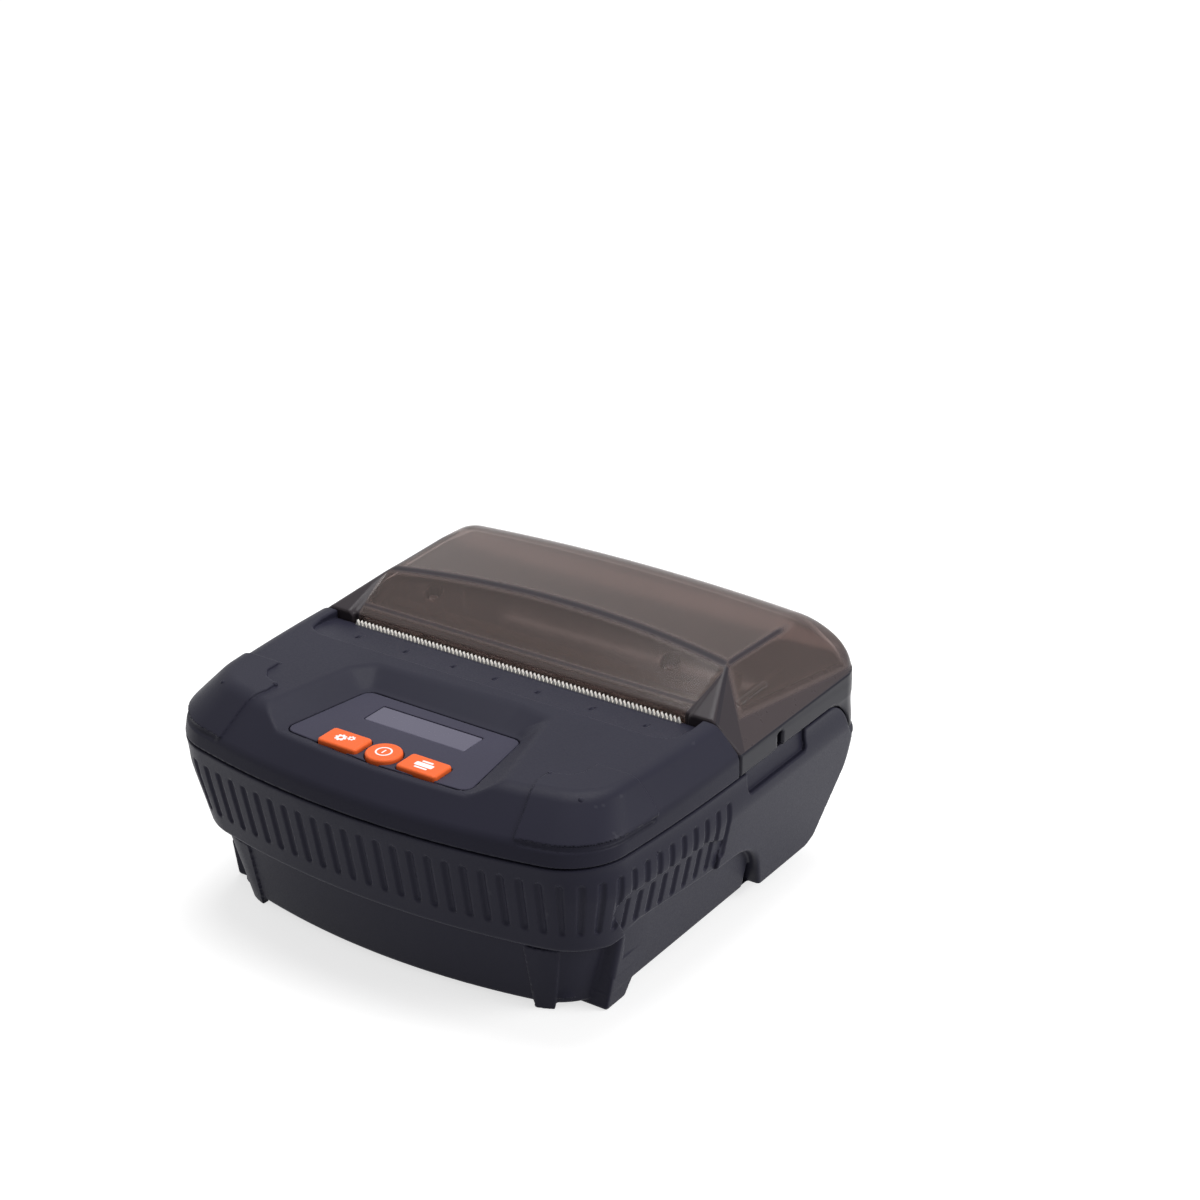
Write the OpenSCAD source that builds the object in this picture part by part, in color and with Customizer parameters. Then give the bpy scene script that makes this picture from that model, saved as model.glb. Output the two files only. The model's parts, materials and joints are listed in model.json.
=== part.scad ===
// Mobile receipt printer for 80 mm paper, lying flat, front towards -Y, right side towards +X.
// Lengths are in millimetres. The origin is on the table under the middle of the printer.

/* [Overall] */
// Width across the parting line of the two half shells
body_w = 113; // [110:0.5:116]
// Depth from the front of the bow to the back of the roll cover
body_d = 106; // [104:0.5:110]
// Height of the parting line above the table
part_z = 37.9; // [37.4:0.1:38.4]
// Height of the flat deck of the console
deck_z = 48.5; // [48.2:0.1:49.5]
// Height of the crown of the roll cover
crown_z = 55.4; // [55:0.1:57]
// Depth of the console from its bow to the tear edge
console_d = 54.9; // [54:0.1:56]
// Wall of the half shells
wall = 2.0; // [1.6:0.1:2.2]
// Gap between neighbouring shells
shell_gap = 0.2; // [0.1:0.05:0.3]

/* [Shell form] */
// Slope of the sides of the lower case, sideways per height
side_draft = 0.19; // [0.15:0.01:0.22]
// Slope of the front of the lower case, backwards per height
front_draft = 0.214; // [0.18:0.002:0.24]
// Radius of the front corners
corner_r = 14; // [12:0.5:16]
// Radius of the rear corners
rear_r = 5; // [4:0.5:6]
// Half angle of the arc of the bowed front
bow_a = 13; // [11:0.5:14]
// Half angle of the arc of the bowed sides
side_a = 5.4; // [4.5:0.1:6]
// Height of the upper edge of the strip above the parting line
strip_h = 5.1; // [4.5:0.1:5.5]
// Height of the front band above the parting line
front_band_h = 3.7; // [3.4:0.1:4.2]
// How far the deck lies inside the sides
deck_side_in = 6; // [5.5:0.1:6.5]
// How far the deck lies behind the bow
deck_front_in = 9.4; // [9:0.1:10]

/* [Lower case] */
// Height of the underside of the ribbed band at the front
band_z = 17; // [16:0.1:18]
// Height of the underside of the ribbed band at the sides
side_band_z = 19.4; // [19:0.1:20]
// How much lower the underside of the ribbed band is at the arch
side_band_drop = 1.2; // [0.8:0.1:1.6]
// Where the side skirt begins, behind the bow
skirt_start = 19.5; // [19:0.1:21]
// Height of the lower edge of the side skirts
skirt_z = 3.6; // [3.2:0.1:4]
// Width of the hollow panel between the two front posts
panel_w = 70; // [66:0.5:72]
// Depth of the hollow panel behind the front posts
panel_in = 3.3; // [2.8:0.1:3.6]
// Height of the underside of the floor
floor_z = 2.0; // [1.8:0.1:2.2]
// Radius of the arch between side skirt and roll bay
arch_r = 9; // [8:0.5:10]
// Lean of the arch from the vertical
arch_a = 22; // [18:1:26]
// Width of one groove of the ribbed band
groove_w = 1.5; // [1.2:0.1:1.7]
// Distance between the grooves at the front
groove_pitch = 3.9; // [3.7:0.05:4.1]
// Depth of the grooves
groove_in = 0.55; // [0.4:0.05:0.7]
// Length of the finger recess under the cover strip
grip_l = 22; // [18:0.5:26]
// Depth of the finger recess
grip_in = 1.0; // [0.6:0.1:1.2]

/* [Console] */
// Width of the control plate at its front edge
plate_front_w = 44.6; // [43:0.1:46]
// Width of the control plate at its rear edge
plate_rear_w = 37.4; // [36:0.1:39]
// Depth of the control plate
plate_d = 22.4; // [22:0.1:23]
// Thickness of the control plate
plate_t = 0.8; // [0.6:0.05:1]
// Depth of the console recess under the deck
recess_in = 2.5; // [2.2:0.1:2.8]
// Width of the display window
window_w = 24.2; // [23:0.1:25]
// Depth of the display window
window_d = 6.7; // [6.2:0.1:7]
// Diameter of the power button
power_dia = 7.5; // [7:0.1:8]
// Width of the two side buttons
side_key_w = 9.6; // [9:0.1:10]
// Depth of the two side buttons
side_key_d = 6.0; // [5.6:0.1:6.2]
// How far the buttons stand above the control plate
key_up = 1.2; // [1:0.1:1.4]
// Travel of the buttons
key_travel = 0.8; // [0.6:0.05:0.9]
// Clearance round each button
key_gap = 0.2; // [0.15:0.05:0.3]

/* [Printing mechanism] */
// Room beside the mechanism for the gear train, on each side
side_room = 12.5; // [12.3:0.1:12.7]
// How much shorter than the room between the side plates the tear bar is
tear_short = 6; // [5:0.5:7]
// Distance between the teeth of the tear bar
tooth_pitch = 1.0; // [1:0.25:2]
// Radius of the rubber of the platen roller
platen_r = 5.0; // [4.6:0.1:5.2]
// How much shorter than the room between the side plates the platen rubber is
platen_short = 8; // [7:0.5:9]
// Radius of the platen shaft
platen_shaft_r = 2.0; // [1.8:0.1:2.2]
// Radius of the platen bushes
bush_r = 4.0; // [3.8:0.1:4.2]
// Distance of the platen axis behind the tear edge
platen_in = 5.5; // [5.3:0.1:5.8]
// Height of the platen axis
platen_z = 38.5; // [38:0.1:38.8]
// Gap between print head and platen rubber
head_gap = 0.3; // [0.2:0.05:0.4]
// Gear module
gear_m = 0.5; // [0.5:0.01:0.52]
// Teeth of the platen gear
platen_teeth = 22; // [22:2:24]
// Teeth of the small idler wheel
idler_small_teeth = 16; // [14:2:18]
// Teeth of the large idler wheel
idler_large_teeth = 28; // [26:2:28]
// Teeth of the motor pinion
pinion_teeth = 12; // [12:1:13]
// Running clearance of the turning parts on their pins
run_gap = 0.05; // [0.03:0.01:0.08]
// Thickness of the side plates of the mechanism frame
frame_t = 1.6; // [1.4:0.1:1.8]
// Radius of the motor can
motor_r = 6.5; // [6:0.1:6.6]
// Length of the motor can
motor_l = 15; // [13:0.5:16]

/* [Roll cover] */
// Wall of the roll cover
cover_wall = 2.0; // [1.6:0.1:2.2]
// How far the side creases of the cover lie inside the sides
crease_side_in = 13; // [12:0.1:14]
// Height of the cover at its side creases
crease_z = 53.6; // [53:0.1:54]
// Distance of the front crease behind the tear edge
crease_in = 18.5; // [17.5:0.1:19.5]
// Height of the cover at its front edge
cover_front_z = 47.9; // [47.6:0.1:48.2]
// Radius of the rear shoulder of the cover
shoulder_r = 10.5; // [9.5:0.1:11.5]
// Distance of the hinge axis from the back
hinge_in = 3.7; // [3.6:0.1:4]
// Height of the hinge axis
hinge_z = 26.5; // [26.3:0.1:27]
// Radius of the hinge barrel
barrel_r = 3.4; // [3.2:0.1:3.5]
// Radius of the hinge pins
hinge_pin_r = 1.2; // [1:0.1:1.4]
// Width of the knuckles of the cover
knuckle_w = 9; // [8:0.5:10]

/* [Roll bay] */
// Distance of the front of the trough behind the tear edge
bay_front_in = 3.1; // [3:0.1:3.4]
// Distance of the rear of the trough from the back
bay_rear_in = 5.2; // [5.2:0.1:5.6]
// How much narrower than the mechanism the trough is
bay_short = 4; // [4:0.5:6]
// Wall of the trough
bay_t = 1.4; // [1.2:0.1:1.5]

/* [Hidden] */

$fn = 48;
big = 200;

// Reference planes
half_w = body_w / 2;
frame_in_w = body_w - 2 * side_room;
crease_x = half_w - crease_side_in;
front_y = -body_d / 2;
rear_y = body_d / 2;
tear_y = front_y + console_d;
seam_y = tear_y + 0.3;
side_y0 = tear_y + 3.1;
strip_z = part_z + strip_h;
hinge_y = rear_y - hinge_in;
seat_gap = 0.25;

// Colours
black = [0.13, 0.13, 0.16];
plate_grey = [0.28, 0.27, 0.33];
smoke = [0.30, 0.24, 0.22, 0.6];
orange = [0.95, 0.42, 0.16];
steel = [0.78, 0.79, 0.80];
board_green = [0.10, 0.35, 0.20];
nylon = [0.86, 0.84, 0.78];

// Steps of the rounded outlines
front_steps = 10;
corner_steps = 8;
side_steps = 3;
rear_steps = 4;

// Points of an arc, without its first point when skip is 1
function arc(cx, cy, r, a0, a1, n, skip = 0) =
    [for (i = [skip:n]) let (a = a0 + (a1 - a0) * i / n) [cx + r * cos(a), cy + r * sin(a)]];

// Centre of the front corner, where front arc, corner and side arc run into each other
function corner_centre(w, yf, r) =
    let (t = tan(bow_a / 2))
    let (s = tan(side_a / 2))
    let (a = w - s * (side_y0 + r * sin(side_a)) - r * cos(side_a))
    let (b = yf + r * sin(bow_a) * t + r * cos(bow_a))
    let (cx = (a + s * b) / (1 - s * t))
    [cx, b + t * cx];

// Outline of the printer seen from above, anticlockwise from the left end of the bow
function plan(w, yf, yr, r, rr) =
    let (c = corner_centre(w, yf, r))
    let (bow_r = (c[0] + r * sin(bow_a)) / sin(bow_a))
    let (side_r = (side_y0 - c[1] + r * sin(side_a)) / sin(side_a))
    concat(
        arc(0, yf + bow_r, bow_r, 270 - bow_a, 270 + bow_a, front_steps),
        arc(c[0], c[1], r, 270 + bow_a, 360 - side_a, corner_steps, 1),
        arc(w - side_r, side_y0, side_r, 360 - side_a, 360, side_steps, 1),
        arc(w - rr, yr - rr, rr, 0, 90, rear_steps),
        arc(rr - w, yr - rr, rr, 90, 180, rear_steps),
        arc(side_r - w, side_y0, side_r, 180, 180 + side_a, side_steps),
        [for (p = arc(-c[0], c[1], r, 180 + side_a, 269.999 - bow_a, corner_steps, 1))
            if (p[0] < -c[0] - r * sin(bow_a) - 0.01) p]);

// Depth of the bow behind its middle at a given x
function bow_y(w, yf, r, x) =
    let (c = corner_centre(w, yf, r))
    let (bow_r = (c[0] + r * sin(bow_a)) / sin(bow_a))
    yf + bow_r - sqrt(bow_r * bow_r - x * x);

function lift(outline, z, rise = 0) = [for (p = outline) [p[0], p[1], z + rise * (p[1] - front_y)]];

// Rounded polygon: each corner becomes an arc of radius r
function unit(v) = v / norm(v);
function rounded(pts, r, n = 4) =
    let (m = len(pts))
    [for (i = [0:m - 1])
        let (p = pts[i])
        let (u = unit(pts[(i + m - 1) % m] - p))
        let (v = unit(pts[(i + 1) % m] - p))
        let (half = acos(u * v) / 2)
        let (c = p + unit(u + v) * r / sin(half))
        let (a0 = atan2((p + u * r / tan(half) - c)[1], (p + u * r / tan(half) - c)[0]))
        let (a1 = atan2((p + v * r / tan(half) - c)[1], (p + v * r / tan(half) - c)[0]))
        let (turn = a1 - a0 > 180 ? a1 - a0 - 360 : a1 - a0 < -180 ? a1 - a0 + 360 : a1 - a0)
        for (k = [0:n]) c + r * [cos(a0 + turn * k / n), sin(a0 + turn * k / n)]];

// Closed body through rings with as many points each; first and last ring are flat
module loft(rings) {
    n = len(rings[0]);
    m = len(rings);
    polyhedron(
        points = [for (ring = rings) each ring],
        faces = concat(
            [[for (i = [0:n - 1]) i]],
            [[for (i = [0:n - 1]) (m - 1) * n + n - 1 - i]],
            [for (k = [0:m - 2]) for (i = [0:n - 1]) let (j = (i + 1) % n)
                [k * n + i, (k + 1) * n + i, (k + 1) * n + j]],
            [for (k = [0:m - 2]) for (i = [0:n - 1]) let (j = (i + 1) % n)
                [k * n + i, (k + 1) * n + j, k * n + j]]),
        convexity = 6);
}

// Outline in Y and Z, extruded along X from x0 to x1
module along_x(x0, x1) {
    translate([x0, 0, 0])
        rotate([90, 0, 90])
            linear_extrude(x1 - x0)
                children();
}

// Outline in X and Z, extruded along Y from y0 to y1
module along_y(y0, y1) {
    translate([0, y1, 0])
        rotate([90, 0, 0])
            linear_extrude(y1 - y0)
                children();
}

module box(x0, x1, y0, y1, z0, z1) {
    translate([x0, y0, z0])
        cube([x1 - x0, y1 - y0, z1 - z0]);
}

module rod_x(x0, x1, y, z, r) {
    translate([x0, y, z])
        rotate([0, 90, 0])
            cylinder(r = r, h = x1 - x0);
}

module post(x, y, z0, z1, r) {
    translate([x, y, z0])
        cylinder(r = r, h = z1 - z0);
}

module both_sides() {
    children();
    mirror([1, 0, 0])
        children();
}

// Lower case

// Half width of the lower case at a height
function side_x(z) = half_w - side_draft * (part_z - z);
// Front of the lower case at a height
function case_front(z) = front_y + front_draft * (part_z - z);

// Trough of the roll bay
bay_floor_z = 3.4;
bay_clear = 1.7;
bay_front_y = tear_y + bay_front_in;
bay_rear_y = rear_y - bay_rear_in;
bay_y = (bay_front_y + bay_rear_y) / 2;
bay_r = (bay_rear_y - bay_front_y) / 2 - bay_t;
bay_z = bay_floor_z + bay_clear + bay_t + bay_r;

rear_slope = 0.44;
bay_low_y = bay_y + 12.1;
rear_top_z = hinge_z - 2.3;
rear_wall_y = hinge_y + 2.2;
turn_r = 9;
turn_y = hinge_y - 12;
skirt_y = front_y + skirt_start;
arch_end_y = rear_y - 34;
floor_t = 2.0;

arch_z = side_band_z - side_band_drop;
arch_y = arch_end_y - arch_r * cos(arch_a) - (arch_z - arch_r * (1 - sin(arch_a)) - bay_floor_z) * tan(arch_a);

case_profile = concat(
    [[front_y - 5, band_z], [skirt_y, band_z], [skirt_y, side_band_z]],
    arc(arch_y, arch_z - arch_r, arch_r, 90, arch_a, 6),
    [[arch_end_y, bay_floor_z], [bay_low_y, bay_floor_z]],
    [[bay_low_y + 3, bay_floor_z + 1.6]],
    [[rear_wall_y, rear_top_z], [hinge_y, hinge_z]],
    arc(turn_y, part_z - turn_r, turn_r, 15, 90, 8),
    [[front_y - 5, part_z]]);

bay_profile = concat(
    [[front_y, part_z + 5], [front_y, side_band_z + wall]],
    arc(arch_y, arch_z - arch_r, arch_r + wall, 90, arch_a, 6),
    [[arch_end_y + wall, bay_floor_z + 1.6], [bay_low_y - 0.5, bay_floor_z + 1.6]],
    [[bay_low_y + 1.8, bay_floor_z + 2.9]],
    [[rear_wall_y - wall, rear_top_z - 0.3], [rear_wall_y - wall, part_z + 5]]);

module case_ring_loft(inset, z0, z1) {
    loft([for (z = [z0, z1])
        lift(plan(side_x(z) - inset, case_front(z) + inset, rear_y - inset, corner_r - inset, rear_r),
            z)]);
}

skirt_top_z = 21.5;
skirt_in = 3.3;
skirt_front_in = 1.0;
skirt_corner_r = 13;
post_low_z = 1.4;
barrel_out_x = half_w - 9.5;
barrel_in_x = barrel_out_x - knuckle_w;
function skirt_ring(z, t) =
    lift(plan(side_x(z) - skirt_in - t, case_front(z) + skirt_front_in + t, 15 - t, skirt_corner_r - t,
        rear_r - t), z);

// Side skirts stand proud of the corner posts
skirt_out = 2.4;
module side_skirt(t, y0, y1, z0, z1) {
    along_y(y0, y1)
        polygon([
            [-side_x(z0) + skirt_out + t, z0], [side_x(z0) - skirt_out - t, z0],
            [side_x(z1) - skirt_out - t, z1], [-side_x(z1) + skirt_out + t, z1]]);
}

// Hollow between the posts; t leaves a wall behind it
module panel_hollow(t) {
    y0 = case_front(band_z) + skirt_front_in + 3.1 + panel_in + t;
    along_x(-panel_w / 2 - t, panel_w / 2 + t)
        polygon([
            [front_y - 5, -1], [front_y - 5, band_z + t], [y0, band_z + t],
            [y0 + front_draft * (band_z + t + 1), -1]]);
}

// Feet on the front posts and under the front ends of the skirts
foot_l = 6.5;
foot_w = 7;
tab_w = 6.7;
tab_lean = 3.2;
tab_up = 0.4;
module front_feet() {
    both_sides()
        intersection() {
            loft([skirt_ring(0, -tab_up), skirt_ring(band_z, -tab_up)]);
            along_y(front_y, skirt_y)
                polygon([
                    [panel_w / 2, 0], [panel_w / 2 + tab_w - tab_lean, 0],
                    [panel_w / 2 + tab_w, band_z - 1], [panel_w / 2, band_z - 1]]);
            union() {
                box(0, half_w, front_y, skirt_y, post_low_z, band_z);
                box(0, half_w, front_y, case_front(0) + skirt_front_in + foot_l, 0, post_low_z + 1);
            }
        }
    both_sides()
        intersection() {
            side_skirt(0, skirt_y, skirt_y + foot_l, 0, 6);
            along_x(side_x(0) - skirt_out - foot_w, half_w)
                polygon([
                    [skirt_y, 0], [skirt_y + foot_l - 2, 0], [skirt_y + foot_l, skirt_z],
                        [skirt_y + foot_l, 6],
                    [skirt_y, 6]]);
        }
}

// Grooves of the ribbed band, spaced along its middle line from the bow round the corner
groove_top_z = 34.1;
groove_low_z = 21.5;
groove_r = groove_w / 2;
groove_count = 24;
groove_mid_z = (groove_top_z + groove_low_z) / 2;
mid_w = side_x(groove_mid_z);
mid_y = case_front(groove_mid_z);
mid_c = corner_centre(mid_w, mid_y, corner_r);
mid_bow_r = (mid_c[0] + corner_r * sin(bow_a)) / sin(bow_a);
mid_side_r = (side_y0 - mid_c[1] + corner_r * sin(side_a)) / sin(side_a);
degree = 180 / PI;
mid_bow_l = mid_bow_r * bow_a / degree;
mid_corner_l = corner_r * (90 - side_a - bow_a) / degree;

// Centre, radius and heading of the middle line at the distance s from its middle
function band_arc(s) =
    s < mid_bow_l ? [0, mid_y + mid_bow_r, mid_bow_r, s / mid_bow_r * degree]
    : s < mid_bow_l + mid_corner_l ? [mid_c[0], mid_c[1], corner_r,
        bow_a + (s - mid_bow_l) / corner_r * degree]
    : [mid_w - mid_side_r, side_y0, mid_side_r,
        90 - side_a + (s - mid_bow_l - mid_corner_l) / mid_side_r * degree];

module groove(s, deeper, low_z, top_z) {
    p = band_arc(s);
    lean = atan(front_draft + (side_draft - front_draft) * p[3] / 90);
    reach = p[2] - deeper - groove_in + groove_r;
    translate([p[0] + reach * sin(p[3]), p[1] - reach * cos(p[3]), groove_mid_z])
        rotate([0, 0, p[3]])
            rotate([lean, 0, 0])
                translate([0, 0, low_z - groove_mid_z])
                    cylinder(r = groove_r, h = top_z - low_z, $fn = 12);
}

// Pocket in the lower half of the band at the sides
pocket_in = 0.9;
pocket_top_z = 28.2;
pocket_y0 = front_y + 16.2;
pocket_y1 = tear_y - 3.4;
pocket_first = 14;
module side_pockets() {
    both_sides()
        difference() {
            along_x(crease_x, half_w + 1)
                polygon(rounded([
                    [pocket_y0, pocket_top_z - 3.5], [pocket_y0 + 5, side_band_z - 0.2],
                        [pocket_y0 + 6, band_z - 2],
                    [pocket_y1 - 1, band_z - 2], [pocket_y1 - 1, pocket_top_z - 5], [pocket_y1,
                        pocket_top_z - 3],
                    [pocket_y1 - 7, pocket_top_z], [pocket_y0 + 1, pocket_top_z + 0.6]], 0.8, 2));
            case_ring_loft(pocket_in, band_z - 3, part_z);
        }
}

module grooves() {
    both_sides()
        for (i = [0:groove_count - 1]) {
            s = groove_pitch * (i + 0.5);
            groove(s, 0, groove_low_z, groove_top_z);
            if (i >= pocket_first)
                groove(s, pocket_in - 0.15, side_band_z + 1, pocket_top_z - 0.8);
        }
}

grip_y = seam_y + 3.2;
grip_h = 5.2;
module finger_recess() {
    both_sides()
        translate([side_x(part_z - grip_h / 2), grip_y, part_z - grip_h])
            rotate([0, atan(side_draft), 0])
                translate([-grip_in, 0, 0])
                    cube([10, grip_l, grip_h + 5]);
}

// Columns for the screws that hold the two shells together
case_columns = [[half_w - 18, front_y + 17.5], [half_w - 13.5, tear_y - 21.9]];
column_r = 3.2;
column_top_z = 30;
// Posts that carry the mechanism frame
frame_x = frame_in_w / 2;
frame_posts = [[frame_x - 2.5, tear_y - 11.9], [frame_x - 2.5, tear_y - 0.9]];
frame_post_r = 2.5;
frame_foot_z = 14;
screw_r = 1.25;
head_r = 2.4;

battery_x = 20.5 - half_w;
battery_w = body_w - 53;
battery_y = front_y + 24.5;
battery_d = bay_front_y - 0.5 - battery_y;
battery_h = 16.5;
battery_z = 4.3;
door_lip = 1.6;
door_gap = 0.3;
door_t = 1.2;
hatch_gap = 0.7;
floor_half_w = half_w - 9.1;

function inner_side_x(z) = side_x(z) - wall;

ear_w = 9;
hatch_x0 = battery_x - hatch_gap;
hatch_x1 = battery_x + battery_w + hatch_gap;
hatch_y0 = battery_y - hatch_gap;
hatch_y1 = battery_y + battery_d + hatch_gap;
door_screw_x = hatch_x1 + 5.2;
door_screws_y = [hatch_y0 + 7, hatch_y1 - 7];
fence_t = 1.2;
fence_h = 5;

port_y = tear_y + 16.1;
port_z = 27;
port_board_x = frame_x + frame_t + 0.6;
port_board_t = 1.6;
port_board_w = 20;
port_w = 9.4;
port_h = 3.6;

module lower_case() {
    color(black)
    difference() {
        union() {
            difference() {
                union() {
                    intersection() {
                        case_ring_loft(0, bay_floor_z - 1, part_z);
                        along_x(-half_w, half_w)
                            polygon(case_profile);
                    }
                    intersection() {
                        loft([skirt_ring(post_low_z, 0), skirt_ring(skirt_top_z, 0)]);
                        box(-half_w, half_w, front_y, skirt_y + 1, 0, skirt_top_z);
                    }
                    side_skirt(0, skirt_y, arch_end_y + 1, skirt_z, skirt_top_z);
                    along_y(skirt_y, arch_end_y + 1)
                        polygon([
                            [skirt_z - floor_half_w - 2, floor_z], [floor_half_w + 2 - skirt_z, floor_z],
                            [floor_half_w, floor_z + floor_t], [-floor_half_w, floor_z + floor_t]]);
                    front_feet();
                }
                panel_hollow(0);
                // Inside of the ribbed band
                intersection() {
                    case_ring_loft(wall, side_band_z + wall, part_z + 1);
                    box(-half_w, half_w, front_y, arch_y, side_band_z + wall, part_z + 1);
                }
                // Inside of the front posts and the side skirts
                difference() {
                    intersection() {
                        loft([skirt_ring(floor_z + floor_t, wall), skirt_ring(side_band_z + wall + 1,
                            wall)]);
                        box(-half_w, half_w, front_y, skirt_y + wall, 0, part_z);
                    }
                    panel_hollow(wall);
                }
                side_skirt(wall, skirt_y + wall - 0.1, arch_end_y + wall, floor_z + floor_t,
                    side_band_z + wall + 1);
                // Inside of the roll bay section
                intersection() {
                    along_y(front_y, rear_y - wall)
                        polygon([
                            [-inner_side_x(0), 0], [inner_side_x(0), 0],
                            [inner_side_x(part_z + 5), part_z + 5], [-inner_side_x(part_z + 5),
                                part_z + 5]]);
                    along_x(-half_w, half_w)
                        polygon(bay_profile);
                    box(-half_w, half_w, arch_y - 1, rear_y, 0, big);
                }
                side_pockets();
                grooves();
                finger_recess();
            }
            // Hinge barrel: a middle part and two ends in the side walls
            rod_x(-barrel_in_x, barrel_in_x, hinge_y, hinge_z, barrel_r);
            both_sides()
                rod_x(barrel_out_x + seat_gap, inner_side_x(hinge_z) + 0.4, hinge_y, hinge_z, barrel_r);
            both_sides()
                for (c = case_columns)
                    post(c[0], c[1], floor_z + 1, column_top_z, column_r);
            both_sides()
                for (c = frame_posts)
                    post(c[0], c[1], floor_z + 1, frame_foot_z, frame_post_r);
            // Fence round the battery and bosses for the door screws
            box(hatch_x0 - fence_t, hatch_x1 + fence_t, hatch_y0 - fence_t, hatch_y1 + fence_t,
                floor_z + 1, floor_z + floor_t + fence_h);
            for (y = door_screws_y)
                post(door_screw_x, y, floor_z + 1, floor_z + floor_t + fence_h, column_r - 0.6);
            // Ribs that hold the board of the charging port
            for (y = [port_y - port_board_w / 2, port_y + port_board_w / 2 - fence_t])
                box(-inner_side_x(port_z + 6) - 0.5, -port_board_x - port_board_t, y, y + fence_t,
                    port_z - 6, port_z + 6);
        }
        // Room for the knuckles of the cover
        both_sides()
            rod_x(barrel_in_x, barrel_out_x + seat_gap, hinge_y, hinge_z, barrel_r + 0.4);
        both_sides()
            rod_x(barrel_in_x - 3, inner_side_x(hinge_z), hinge_y, hinge_z, hinge_pin_r);
        both_sides()
            for (c = case_columns) {
                post(c[0], c[1], -1, column_top_z + 1, screw_r + 0.25);
                post(c[0], c[1], -1, floor_z + 3, head_r + 0.3);
            }
        both_sides()
            for (c = frame_posts)
                post(c[0], c[1], floor_z + 4, frame_foot_z + 1, screw_r);
        // Battery hatch with a rebate for its door
        box(hatch_x0, hatch_x1, hatch_y0, hatch_y1, -1, big);
        box(hatch_x0 - door_lip - door_gap, hatch_x1 + ear_w + door_gap,
            hatch_y0 - door_lip - door_gap, hatch_y1 + door_lip + door_gap, -1, floor_z + door_t);
        for (y = door_screws_y)
            post(door_screw_x, y, 0, floor_z + floor_t + fence_h - 1, screw_r - 0.25);
        // Holes for the studs of the rubber feet
        both_sides()
            post(foot_x, rear_y - 22, 0, bay_floor_z + 3, 1);
        // Window of the charging port in the left wall
        box(-half_w - 1, -half_w + 8, port_y - port_w / 2, port_y + port_w / 2,
            port_z - port_h / 2, port_z + port_h / 2);
    }
}

// Upper case

plate_y0 = front_y + 9.4;
plate_y1 = plate_y0 + plate_d;
recess_z = deck_z - recess_in;
pocket_z = recess_z - plate_t;
deck_w = half_w - deck_side_in;
deck_y = front_y + deck_front_in;
deck_drop = 0.7;
deck_t = 1.6;

function shell_rings(t) = [
    lift(plan(half_w - t, front_y + t, rear_y, corner_r - t, rear_r),
        part_z - (t > 0 ? 1 : 0) + shell_gap * (t > 0 ? 0 : 1)),
    lift(plan(half_w - 0.2 - t, front_y + 0.8 + t, rear_y, corner_r - t, rear_r),
        part_z + front_band_h - t / 2, (strip_h - front_band_h) / console_d),
    lift(plan(deck_w + 0.4 - t * 0.8, deck_y - 0.6 + t * 0.8, rear_y, corner_r - 3 - t * 0.5, rear_r),
        deck_z - deck_drop - t * 0.9),
    lift(plan(deck_w - 2.6 - t * 0.8, deck_y + 0.6 + t * 0.8, rear_y, corner_r - 4 - t * 0.5, rear_r),
        deck_z - t)];

function plate_outline(grow) =
    let (wf = plate_front_w / 2 + grow)
    let (wr = plate_rear_w / 2 + grow)
    rounded([
        [0, plate_y0 - 1.4 - grow], [wf, plate_y0 - grow], [wr, plate_y1 + grow],
        [-wr, plate_y1 + grow], [-wf, plate_y0 - grow]], 2.2 + grow);

recess_flare = 5.5;
function recess_outline(grow) =
    let (wf = plate_front_w / 2 + 1.0 + grow)
    let (wr = plate_rear_w / 2 + 0.6 + grow)
    rounded([
        [-wf - 0.8, front_y - 4], [wf + 0.8, front_y - 4], [wf, plate_y0], [wr, plate_y1 + 0.6 + grow],
        [-wr, plate_y1 + 0.6 + grow], [-wf, plate_y0]], 2.0 + grow / 2);

module recess_cut(down) {
    hull() {
        translate([0, 0, recess_z - down])
            linear_extrude(0.01)
                polygon(recess_outline(down));
        translate([0, 0, deck_z + 0.5])
            linear_extrude(0.01)
                polygon(recess_outline(recess_flare + down));
    }
}

key_y = front_y + 11.9;
key_x = 4.9;
key_ring = power_dia / 2 + 0.85;
window_y = front_y + 25.15;

module side_key_outline(grow) {
    difference() {
        translate([key_x - grow, key_y - side_key_d / 2 - grow])
            polygon(rounded([
                [0, 0], [side_key_w + 2 * grow, 0],
                [side_key_w + 2 * grow, side_key_d + 2 * grow], [0, side_key_d + 2 * grow]], 0.8 + grow));
        translate([0, key_y])
            circle(r = key_ring - grow);
    }
}

ledge_front_y = tear_y - 8.8;
ledge_w = half_w - 12.1;
ledge_rear_w = half_w - 10.7;
lip_y = tear_y - 0.4;
tear_z_low = 44.7;
lip_z = tear_z_low + 1.6;

// Pads on the two front corners
pad_up = 0.4;
pad_points = [for (p = [
    [-20.5, -2], [-21.5, 9.7], [-23.1, 16.3], [-22.6, 19.6], [-19.3, 21.2], [-17.2, 23.8], [-17.1, 27.8],
    [3.5, 27.2], [3.5, -2]]) [half_w + p[0], front_y + p[1]]];
module corner_pads() {
    intersection() {
        translate([0, 0, pad_up])
            loft(shell_rings(-pad_up / 2));
        both_sides()
            translate([0, 0, part_z + front_band_h + 0.6])
                linear_extrude(big)
                    polygon(pad_points);
        box(-half_w - 0.001, half_w + 0.001, front_y, rear_y, 0, big);
    }
}

board_half_w = half_w - 21.9;
board_bosses = [[board_half_w - 2.6, front_y + 12], [board_half_w - 2.6, front_y + 32]];
board_z = 34;
board_t = 1.6;
key_board_z = 39.4;
key_board_posts = [[17.5, front_y + 10.6], [17.5, front_y + 30]];
boss_r = 2.2;

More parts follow.
